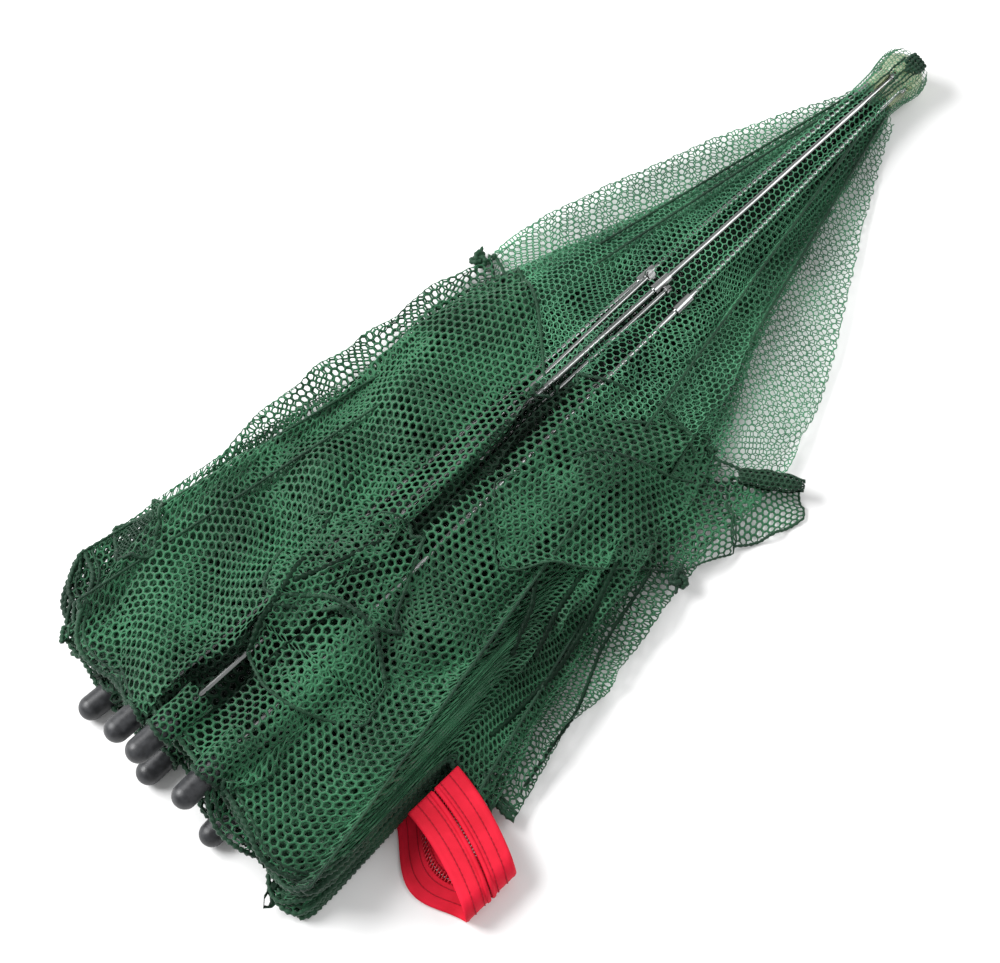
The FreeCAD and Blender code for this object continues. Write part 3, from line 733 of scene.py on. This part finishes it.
def make_trim(grid, half, span):
    """Hem cords, the seam between the tiers and, on the first half of each gore, the cord along the gore's seam."""
    cords = []
    for x, radius in ((END - 1.0, 0.95), (END - 3.8, 0.6), (TIER, 0.7)):
        t = np.linspace(0, 1, 90)
        reach = x - (TIER_ARCH * np.sin(np.pi * t) if x == TIER else np.zeros(90))
        path, t = resampled(cubic(grid, (reach - rows[0]) / span * (ROWS - 1), t * (COLS - 1)), CORD_STEP)
        cords.append((path, t, radius, 0.35, 2.6))
    if half[1] == "a":
        path, _ = resampled(grid[:, -1], CORD_STEP)
        cords.append((path, np.ones(len(path)), 0.55, 0.3, 3.0))
    return make_cords(f"net_trim_{half}", cords, TRIM)


points, widths, rows, crests = first_shape()
points = drawn_in(relax(points, widths, rows))
for h, (sheet_name, half, _, _, _, reach_share) in enumerate(SHEETS):
    make_net(h, sheet_name, half, reach_share)


# ---------------------------------------------------------------- flaps of netting on top


def height_map(grids, cell=2.0):
    """The highest cloth over each cell of the floor, smoothed, as a function of x and y."""
    size = (240, 130)
    origin = (-240.0, -130.0)
    field = np.zeros(size)

    def around(field):
        padded = np.pad(field, 1, mode="edge")
        return [padded[a:a + size[0], b:b + size[1]] for a in range(3) for b in range(3)]

    for grid in grids:
        fine = (grid[:-1, :-1] + grid[1:, 1:] + grid[:-1, 1:] + grid[1:, :-1]) / 4
        for part in (grid.reshape(-1, 3), fine.reshape(-1, 3)):
            i = np.clip(((part[:, 0] - origin[0]) / cell).astype(int), 0, size[0] - 1)
            j = np.clip(((part[:, 1] - origin[1]) / cell).astype(int), 0, size[1] - 1)
            np.maximum.at(field, (i, j), part[:, 2])
    for _ in range(2):
        near = np.max(around(field), axis=0)
        field = np.where(field < near - 6, near, field)  # fills holes
    for _ in range(3):
        field = sum(around(field)) / 9

    def height(x, y):
        i = np.clip((x - origin[0]) / cell, 0, size[0] - 1.001)
        j = np.clip((y - origin[1]) / cell, 0, size[1] - 1.001)
        a, b = i.astype(int), j.astype(int)
        f, g = i - a, j - b
        a2, b2 = np.minimum(a + 1, size[0] - 1), np.minimum(b + 1, size[1] - 1)
        return (field[a, b] * (1 - f) * (1 - g) + field[a2, b] * f * (1 - g) + field[a, b2] * (1 - f) * g
                + field[a2, b2] * f * g)
    return height


surface = height_map(points)


def surface_at(x, y):
    """The cloth's height at one place."""
    return surface(np.array([float(x)]), np.array([float(y)]))[0]


def edge_points(corners, count):
    """Even points along a line between corners, which are rounded."""
    corners = np.array(corners, float)
    length = lengths_along(corners)
    line = between(np.linspace(0, length[-1], count), length, corners)
    for _ in range(3):
        line[1:-1] = (line[:-2] + line[2:] + 2 * line[1:-1]) / 4
    return line


DRAPE_CELL, DRAPE_STEPS = 3.0, 90
DRAPE_FALL, DRAPE_CARRY, DRAPE_SMOOTH = 0.05, 0.85, 0.08
ABOVE_CLOTH, MOST_ABOVE = 0.8, 13
CORNERS = ([0, 0, -1, -1], [0, -1, 0, -1])


def drape(top, bottom, fullness, puff, seed, hold):
    """A patch of cloth between two edges, larger than its place, that settles in wrinkles on what is below it."""
    local = np.random.default_rng(seed)
    wide = np.linalg.norm(np.diff(np.asarray(top, float), axis=0), axis=1).sum()
    tall = np.linalg.norm(np.mean(top, axis=0) - np.mean(bottom, axis=0))
    m, n = max(8, int(tall / DRAPE_CELL)), max(8, int(wide / DRAPE_CELL))
    v, u = np.linspace(0, 1, m)[:, None], np.linspace(0, 1, n)[None, :]
    grid = np.zeros((m, n, 3))
    grid[..., :2] = edge_points(top, n) * (1 - v[..., None]) + edge_points(bottom, n) * v[..., None]
    below = surface(grid[..., 0], grid[..., 1])
    grid[..., 2] = below + 1.5 + puff * (np.sin(np.pi * u) * np.sin(np.pi * v)) ** 0.6
    for _ in range(8):
        fu, fv, phase = local.uniform(0.5, 4), local.uniform(0.5, 4), local.uniform(0, 6.28)
        grid[..., 2] += local.uniform(0.4, 1.3) * np.sin(np.pi * (fu * u + fv * v) + phase) * puff / 4
    held = grid.copy()
    held[(*CORNERS, 2)] = below[CORNERS] + 1.0
    du = np.linalg.norm(np.diff(grid[..., :2], axis=1), axis=-1) * fullness
    dv = np.linalg.norm(np.diff(grid[..., :2], axis=0), axis=-1) * fullness
    before = grid.copy()
    for _ in range(DRAPE_STEPS):
        speed = (grid - before) * DRAPE_CARRY
        before = grid.copy()
        grid = grid + speed
        grid[..., 2] -= DRAPE_FALL
        for _ in range(PASSES):
            for k in (0, 1):
                pull(grid, np.s_[:, k:-1:2], np.s_[:, k + 1::2], du[:, k::2])
                pull(grid, np.s_[k:-1:2], np.s_[k + 1::2], dv[k::2])
            grid[1:-1, 1:-1] += ((grid[:-2, 1:-1] + grid[2:, 1:-1] + grid[1:-1, :-2] + grid[1:-1, 2:]) / 4
                                 - grid[1:-1, 1:-1]) * DRAPE_SMOOTH
            low = surface(grid[..., 0], grid[..., 1]) + ABOVE_CLOTH
            grid[..., 2] = np.clip(grid[..., 2], low, low + MOST_ABOVE)
            grid[CORNERS] = held[CORNERS]
            grid[0] = held[0] * 0.3 + grid[0] * 0.7
            grid[-1] = held[-1] * hold + grid[-1] * (1 - hold)
    return grid


def share_near(places, half):
    """The share of the way across a half gore of the cloth that lies nearest to each place."""
    grid = points[HALVES.index(half), ::2]
    columns = np.broadcast_to(np.linspace(0, 1, COLS), grid.shape[:2]).ravel()
    gap = (places[:, None] - grid.reshape(-1, 3)) ** 2
    return columns[(gap[..., 0] + gap[..., 1] + 0.3 * gap[..., 2]).argmin(1)]


def cord_share(line, half, t):
    """Shares along a line that go evenly from its one end's to the other's."""
    ends = share_near(line[[0, -1]], half)
    return ends[0] * (1 - t) + ends[1] * t


def blend_at(piece, half, place):
    """The share across the half gore of the cloth nearest to one place, handed to blend_across for the whole piece.
    """
    blend_across(piece, np.full(len(piece.data.vertices), share_near(place[None], half)[0]))


def make_flap(name, half, top, bottom, fullness, puff, seed, roll, hem, hold, pitch=3.4, mat=LOW_GREEN):
    """A patch of netting between two edges, with a hem on each side that is roll thick on its top edge."""
    grid = drape(top, bottom, fullness, puff, seed, hold)
    wide = np.linalg.norm(np.diff(grid, axis=1), axis=-1).sum(1).mean()
    tall = np.linalg.norm(np.diff(grid, axis=0), axis=-1).sum(0).mean()
    flat, height, faces = honeycomb((0, 0), (tall, wide), pitch,
                                    lambda x, y: (x > 1) & (x < tall - 1) & (y > 1) & (y < wide - 1))
    down, right = flat[:, 0] / tall, flat[:, 1] / wide
    row, col = down * (grid.shape[0] - 1), right * (grid.shape[1] - 1)
    place = cubic(grid, row, col) + cubic(normals_of(grid), row, col) * (height * STRAND)[:, None]
    net = new_piece(name, place, faces.tolist(), mat)
    # shares across the cloth below for blend_across, blended smoothly from its corners
    marks = share_near(grid[CORNERS], half)
    blend_across(net, (marks[0] * (1 - down) + marks[2] * down) * (1 - right)
                 + (marks[1] * (1 - down) + marks[3] * down) * right)
    cords = []
    for line, radius in ((grid[0], roll), (grid[-1], hem), (grid[:, 0], hem * 0.8), (grid[:, -1], hem * 0.8)):
        path, t = resampled(line, CORD_STEP)
        cords.append((path, cord_share(line, half, t), radius, 0.3, 2.4))
    trim = make_cords(f"{name}_hem", cords, TRIM)


make_flap("flap_right", "4a", [(-40, 6), (-8, -10), (3, -26), (26, -52)],
          [(-66, -18), (-32, -48), (-9, -65), (9, -73)],
          fullness=1.1, puff=8.0, seed=3, roll=0.5, hem=0.45, hold=0.1)
make_flap("flap_corner", "5b", [(30, -51), (43, -62), (47, -73)], [(11, -71), (21, -77), (38, -82)],
          fullness=1.1, puff=2.0, seed=4, roll=0.6, hem=0.6, hold=0.2, pitch=2.8)
make_flap("pocket", "3b", [(-132, 27), (-121, 16), (-117, -3), (-128, -20)],
          [(-158, 22), (-163, 8), (-160, -8), (-147, -26)],
          fullness=1.12, puff=8.0, seed=5, roll=1.0, hem=0.7, hold=0.3)
make_flap("pocket_neck", "3b", [(-102, 48), (-90, 34), (-80, 16)], [(-137, 26), (-124, 13), (-117, -4)],
          fullness=1.4, puff=8.0, seed=6, roll=0.4, hem=1.0, hold=0.2)
make_flap("hem_bunch", "2a", [(-139, 94), (-150, 84)], [(-158, 103), (-167, 88)],
          fullness=1.35, puff=3.0, seed=9, roll=0.7, hem=0.9, hold=0.4, pitch=2.1, mat=TRIM)


def make_tucks(name, half, lines, radius):
    """Narrow tucks, where the cloth is bunched into a crease that follows the surface, drawn as near-black cords:
    painted shade in the crease.
    """
    cords = []
    for line in lines:
        flat = edge_points(line, 40)
        path, t = resampled(np.column_stack([flat, surface(flat[:, 0], flat[:, 1]) + radius * 0.35]), CORD_STEP)
        cords.append((path, cord_share(path, half, t), radius, 0.3, 2.9))
    make_cords(name, cords, PAINTED_SHADE_GREEN)


make_tucks("tucks_left", "3b", [[(-78, 50), (-96, 42), (-112, 37), (-133, 30)], [(-134, 30), (-146, 27), (-157, 22)],
                                [(-92, 19), (-110, 24), (-127, 30)]], 1.25)
make_tucks("tucks_right", "4b", [[(-57, -29), (-67, -37), (-86, -45)], [(-42, -40), (-60, -44), (-80, -51)],
                                 [(-30, -46), (-54, -55), (-78, -60), (-112, -60)]], 1.1)
make_tucks("tuck_low", "5b", [[(-22, -57), (-58, -65), (-82, -76), (-116, -82)]], 0.7)


def make_roll(name, half, start, end, radius, turns, height):
    """A rolled edge of netting: a spiral of cloth round a line between two places."""
    hole = 0.6
    start, end = np.array([*start, height]), np.array([*end, height])
    length = np.linalg.norm(end - start)
    ahead = (end - start) / length
    axes = ahead, np.cross(ahead, (0, 0, 1.0)), (0, 0, 0.8)
    around = 2 * np.pi * radius * turns * 0.8
    flat, high, faces = honeycomb((0, 0), (length, around), 2.3,
                                  lambda x, y: (x > 0) & (x < length) & (y > 0) & (y < around), hole)
    t = np.clip(flat[:, 1] / around, 0, 1)
    # it winds outwards, with a light swell along it and narrower ends
    size = radius * (0.6 + 0.4 * t) * (1 + 0.08 * np.sin(flat[:, 0] * 0.7))
    size = size * np.sin(np.pi * np.clip(flat[:, 0] / length * 0.8 + 0.1, 0.1, 0.9)) ** 0.4 + high * 0.3
    roll = new_piece(name, round_line(start, axes, flat[:, 0], 2 * np.pi * turns * t, size), faces.tolist(), TRIM)
    blend_at(roll, half, start)


make_roll("corner_roll", "5b", (32, -53), (47, -74), 4.2, 2.0, surface_at(40, -62) + 3.5)


def make_knot(name, half, place, size):
    """A small hard knot in the seam's cord: a trefoil with two short ends."""
    t = np.linspace(0, 2 * np.pi, 70)
    middle = np.array([*place, surface_at(*place) + size * 0.6])
    trefoil = np.stack([np.sin(t) + 2 * np.sin(2 * t), np.cos(t) - 2 * np.cos(2 * t), -np.sin(3 * t) * 0.9], 1)
    ends = np.outer(np.linspace(-1, 1, 16), (0.9, 0.55, 0.1))
    loops = [tube(middle + trefoil * size / 3, size * 0.34, ripple=0.2, wave=1.8),
             tube(middle + ends * size * 1.7, size * 0.22, ripple=0.2)]
    blend_at(new_piece(name, *joined(loops), TRIM), half, middle)


make_knot("knot_left", "2a", (27, 88), 3.2)
make_knot("knot_right", "5b", (-15, -66), 3.4)


def make_hem_sleeve(n):
    """The hem's narrow pocket round the end of a rib: a short sleeve of netting with a corded mouth."""
    low, radius, length = 386.0, 5.9, 21.5
    around = 2 * np.pi * radius

    def ring(u, angle, lift):
        r = radius + 0.3 * np.sin(3 * angle + n) + 0.25 * np.sin(u * 0.5 + 2 * angle) + lift
        place = round_line(HINGE[n], rib_axes(n), low + u, angle, r)
        place[:, 2] = np.maximum(place[:, 2], 0.1 + 0.1 * lift)
        return place

    flat, height, faces = honeycomb((0, 0), (length, around), 3.1,
                                    lambda x, y: (x > 0.5) & (x < length - 0.5) & (y > 0.2) & (y < around))
    sleeve = riding_piece(f"hem_sleeve_{n}", ring(flat[:, 0], flat[:, 1] / radius, height * STRAND),
                          faces.tolist(), LOW_GREEN, f"rib_{n}")
    t = np.linspace(0, 2 * np.pi, 60)
    mouth = ring(length + 0.8 * np.sin(2 * t + n), t, np.zeros(60))
    mouth[:, 2] = np.maximum(mouth[:, 2], 0.8)
    cord = riding_piece(f"hem_sleeve_cord_{n}", *tube(mouth, 0.85, ripple=0.35, wave=2.6), TRIM, f"rib_{n}")


def make_rib_cover(n, low, high, radius):
    """A strip of the fine netting over the upper side of a rib, between the crown and its clip."""
    wide, length = radius * math.radians(262), high - low
    flat, height, faces = honeycomb((0, 0), (length, wide), 2.9,
                                    lambda x, y: (x > 1) & (x < length) & (y > 0) & (y < wide), THIN_HOLE)
    r = radius + 0.25 * np.sin(flat[:, 0] * 0.35) + height * 0.2
    place = round_line(HINGE[n], rib_axes(n), low + flat[:, 0], flat[:, 1] / radius - math.radians(41), r)
    cover = riding_piece(f"rib_cover_{n}", place, faces.tolist(), GREEN, f"rib_{n}")


for rib in RIBS:
    make_hem_sleeve(rib)
make_rib_cover(3, 14, 132, 2.3)
make_rib_cover(5, 14, 132, 2.3)


# ---------------------------------------------------------------- the zipper

ZIP_X, ZIP_WIDTH, ZIP_GAP = -145.0, 26.0, 0.7
ZIP_FLOOR, ZIP_TAPE, ZIP_RADIUS, ZIP_FOLD_Y = 0.4, 0.7, 7.0, -103.5
ZIP_LOW_END, ZIP_TOP_END = -24.0, -60.0
# How far the fold lies towards the caps, the lower run bulges that way, and the upper run's end goes back.
FOLD_OUT, LOW_BULGE, TOP_BACK = 9, 13, 3
STITCH_ROWS = (-8.2, -3.6, 3.6, 8.2)
THREAD_STEP, STITCH, COIL_PITCH = 0.35, 2.1, 1.3
THREAD, COIL_WIRE = 0.22, 0.27


def zip_path():
    """The tape's middle line, from its lower end out to the fold and back on top."""
    y_turn = ZIP_FOLD_Y + ZIP_RADIUS
    arc = ZIP_RADIUS - ZIP_TAPE / 2
    lower = [(ZIP_LOW_END + (y_turn - ZIP_LOW_END) * k / 24, ZIP_FLOOR + ZIP_TAPE / 2) for k in range(24)]
    turn = [(y_turn - arc * math.sin(math.pi * k / 20), ZIP_FLOOR + ZIP_RADIUS - arc * math.cos(math.pi * k / 20))
            for k in range(21)]
    upper = [(y_turn + (ZIP_TOP_END - y_turn) * k / 20, ZIP_FLOOR + 2 * ZIP_RADIUS - ZIP_TAPE / 2)
             for k in range(1, 21)]
    line = np.array(lower + turn + upper)
    return np.stack([np.full(len(line), ZIP_X), line[:, 0], line[:, 1]], 1)


def zip_sway(y, z):
    """How far the tape leaves its straight run sideways: out to the caps' side on the fold, back to the crown's."""
    v = np.clip((y - ZIP_FOLD_Y) / (-54 - ZIP_FOLD_Y), 0, 1)
    w = np.clip((y - ZIP_FOLD_Y) / (ZIP_TOP_END - ZIP_FOLD_Y), 0, 1)
    under = -FOLD_OUT * (1 - v) ** 2 - LOW_BULGE * np.sin(np.pi * v) ** 1.5
    above = -FOLD_OUT * (1 - w) ** 2 + TOP_BACK * w
    return np.where(z < ZIP_FLOOR + ZIP_RADIUS, under, above)


def zip_up(path):
    """The direction out of the tape's face, at each point of its path."""
    ahead = np.gradient(path, axis=0)
    ahead /= np.linalg.norm(ahead, axis=1)[:, None]
    return np.cross((1.0, 0, 0), ahead)


def ribbon(path, x_low, x_high, cross=13, edge=0.18):
    """A tape along the path, a little thicker at its selvedges."""
    profile = np.full(cross, ZIP_TAPE / 2)
    profile[[0, -1]] *= 0.4
    profile[[1, -2]] += edge
    middle = path[:, None] * [0, 1, 1] + np.linspace(x_low, x_high, cross)[None, :, None] * [1, 0, 0]
    rise = zip_up(path)[:, None] * profile[None, :, None]
    return skin(np.concatenate([middle + rise, (middle - rise)[:, ::-1]], 1))


def make_zipper():
    path = zip_path()
    fine, _ = resampled(path, 1.0)
    dense, _ = resampled(path, THREAD_STEP)
    up = zip_up(dense)

    def add(name, parts, mat, slot="zipper_red", replaces=None):
        place, faces = joined(parts)
        place[:, 0] += zip_sway(place[:, 1], place[:, 2])
        riding_piece(name, place, faces, mat, "net_6b", slot, replaces)

    def at_x(line, x):
        line[:, 0] = ZIP_X + x
        return line

    for name, low, high in (("front", -ZIP_WIDTH / 2, -ZIP_GAP), ("back", ZIP_GAP, ZIP_WIDTH / 2)):
        add(f"woven_tape_{name}", [ribbon(fine, ZIP_X + low, ZIP_X + high)], RED_TAPE,
            replaces=f"zipper_tape_{name}")
    # stitch rows beside the coil and near the outer edges: short threads that dip between the holes
    phase = np.arange(len(dense)) * THREAD_STEP / STITCH * 2 * np.pi
    rise = (ZIP_TAPE / 2 + 0.10 + 0.12 * np.sin(phase))[:, None]
    add("zipper_stitches", [tube(at_x(dense + up * face * rise, x), THREAD, sides=5)
                            for face in (1, -1) for x in STITCH_ROWS], RED_THREAD)
    # the coil: two nylon spirals that lock together, on the inner side of the loop
    turns = []
    steps = np.arange(len(dense) * 3) / 3
    base, lift = (between(steps, np.arange(len(dense)), line) for line in (dense, up))
    for side in (-1, 1):
        phase = steps * THREAD_STEP / COIL_PITCH * 2 * np.pi + (0 if side < 0 else np.pi)
        line = base - lift * (ZIP_TAPE / 2 + 0.75 + 0.5 * np.sin(phase))[:, None]
        turns.append(tube(at_x(line, side * 0.75 + 0.85 * np.cos(phase)), COIL_WIRE, sides=5))
    add("zipper_spiral", turns, RED_COIL, "zipper_coil_red", "zipper_coil")
    # outside of the loop, the fold of both tapes over the coil shows as a double ridge
    outside = fine + zip_up(fine) * (ZIP_TAPE / 2 + 0.1)
    add("zipper_ridges", [tube(at_x(outside.copy(), x), 1.0, sides=8, flat=0.55) for x in (-1.3, 1.3)], RED_TAPE)


make_zipper()


# ---------------------------------------------------------------- netting gathered over the crown

# The gather's radius at distances from the crown towards the caps. It is a flat strip of the length and width, and
# from the hinges on it has slots, this many degrees to each side of a rib, where the ribs swing out.
GATHER_AT = np.array([-13.6, -12.6, -10.0, -6.0, -2.0, 2.0, 7.0, 13.0, 18.0])
GATHER_RADIUS = np.array([7.0, 9.0, 10.3, 10.8, 10.2, 9.3, 9.0, 8.8, 8.4])
GATHER_LENGTH, GATHER_WIDTH, GATHER_CELLS = 34.0, 2 * np.pi * 10.0, 34
SLOT_FROM, SLOT_HALF = 16.5, 12
CROWN_AXES = AXIS, LEFT, LIFT
# The draw cord: dark strands bunched on one side of the tip, and thin ones that lead from them down the neck. Each
# has its two ends' places along the axis and angles round it, and its radius.
BUNCH = [(-13.9, -3.0 - 1.4 * abs(k - 2), 110 + 10 * (k - 2), 108 + 8 * (k - 2), 0.85) for k in range(5)]
LEADS = [(-9.0, 17.5, 101, 105, 0.5), (-8.0, 16.0, 84, 73, 0.45), (-8.5, 17.0, 114, 112, 0.4),
         (-7.5, 12.0, 124, 121, 0.35)]


def make_gather():
    """A sleeve of netting over the crown's bulb and neck, in fine pleats, and the tie round its tip."""

    def inside(x, y):
        clear = np.abs(y / GATHER_WIDTH * 360 % 60 - 30) > SLOT_HALF
        return (y > 0) & (y < GATHER_WIDTH - 0.2) & (x > 1) & ((x < SLOT_FROM) | clear)

    flat, height, faces = honeycomb((0, 0), (GATHER_LENGTH, GATHER_WIDTH), GATHER_WIDTH / GATHER_CELLS, inside,
                                    THIN_HOLE)
    angle = flat[:, 1] / GATHER_WIDTH * 2 * np.pi
    along = np.interp(flat[:, 0], [0, GATHER_LENGTH], GATHER_AT[[0, -1]])
    pleats = 0.35 * np.sin(angle * 17) + 0.25 * np.sin(angle * 29 + 1.3)
    r = np.interp(along, GATHER_AT, GATHER_RADIUS) + pleats + height * 0.2
    place = round_line(CROWN, CROWN_AXES, along, angle, r)
    place[:, 2] = np.maximum(place[:, 2], 0.0)
    sleeve = riding_piece("net_gather", place, faces.tolist(), GREEN, "crown")
    cords = []
    for k, (low, high, from_angle, to_angle, size) in enumerate(BUNCH + LEADS):
        along = np.linspace(low, high, 50)
        over_tip = 4.0 * np.clip((-12.6 - along) / 1.3, 0, 1)
        r = np.interp(along, GATHER_AT, GATHER_RADIUS) + size * 0.6 - over_tip
        angle = np.radians(np.linspace(from_angle, to_angle, 50)) + 0.02 * np.sin(along * 0.9 + k)
        cords.append(tube(round_line(CROWN, CROWN_AXES, along, angle, r), size, ripple=0.3, wave=2.0))
    riding_piece("crown_tie", *joined(cords), TRIM, "crown")


make_gather()


# ---------------------------------------------------------------- floor, light and camera


def make_floor(size=3.0, below=0.0004):
    mesh = bpy.data.meshes.new("floor")
    mesh.from_pydata([(-size, -size, 0), (size, -size, 0), (size, size, 0), (-size, size, 0)], [], [(0, 1, 2, 3)])
    floor = bpy.data.objects.new("floor", mesh)
    floor.location = (0, 0, -below)
    bpy.context.scene.collection.objects.link(floor)
    mat, tree, shader = material("white_paper", Roughness=0.9)
    tint(tree, shader, noise(tree, 40.0, 2.0), (0.3, (0.86, 0.86, 0.86)), (0.7, (0.89, 0.89, 0.89)))
    mesh.materials.append(mat)


def make_world(strength):
    world = bpy.data.worlds.new("studio")
    world.use_nodes = True
    background = world.node_tree.nodes["Background"]
    background.inputs["Color"].default_value = (1, 1, 1, 1)
    background.inputs["Strength"].default_value = strength
    bpy.context.scene.world = world


def make_light(name, place, size, power):
    """An area light that points at the middle of the floor."""
    data = bpy.data.lights.new(name, "AREA")
    data.energy, data.size = power, size
    lamp = bpy.data.objects.new(name, data)
    lamp.location = place
    lamp.rotation_euler = (-Vector(place)).to_track_quat("-Z", "Y").to_euler()
    bpy.context.scene.collection.objects.link(lamp)


def make_camera(azimuth, elevation, distance, target, lens):
    a, e = math.radians(azimuth), math.radians(elevation)
    back = Vector((math.sin(a) * math.cos(e), -math.cos(a) * math.cos(e), math.sin(e)))
    data = bpy.data.cameras.new("camera")
    data.lens, data.sensor_width = lens, 36
    data.clip_start, data.clip_end = 0.01, 20
    camera = bpy.data.objects.new("camera", data)
    camera.location = Vector(target) + back * distance
    camera.rotation_euler = (-back).to_track_quat("-Z", "Y").to_euler()
    bpy.context.scene.collection.objects.link(camera)
    bpy.context.scene.camera = camera


make_floor()
make_world(strength=0.5)
bpy.context.scene.view_settings.view_transform = "Standard"
make_light("key", (-0.55, 0.95, 0.95), size=0.8, power=32)
make_light("fill", (0.9, -0.5, 1.0), size=0.9, power=8)
make_camera(azimuth=-44.6, elevation=70.0, distance=0.924, target=(-0.0383, 0.0095, 0.015), lens=85)
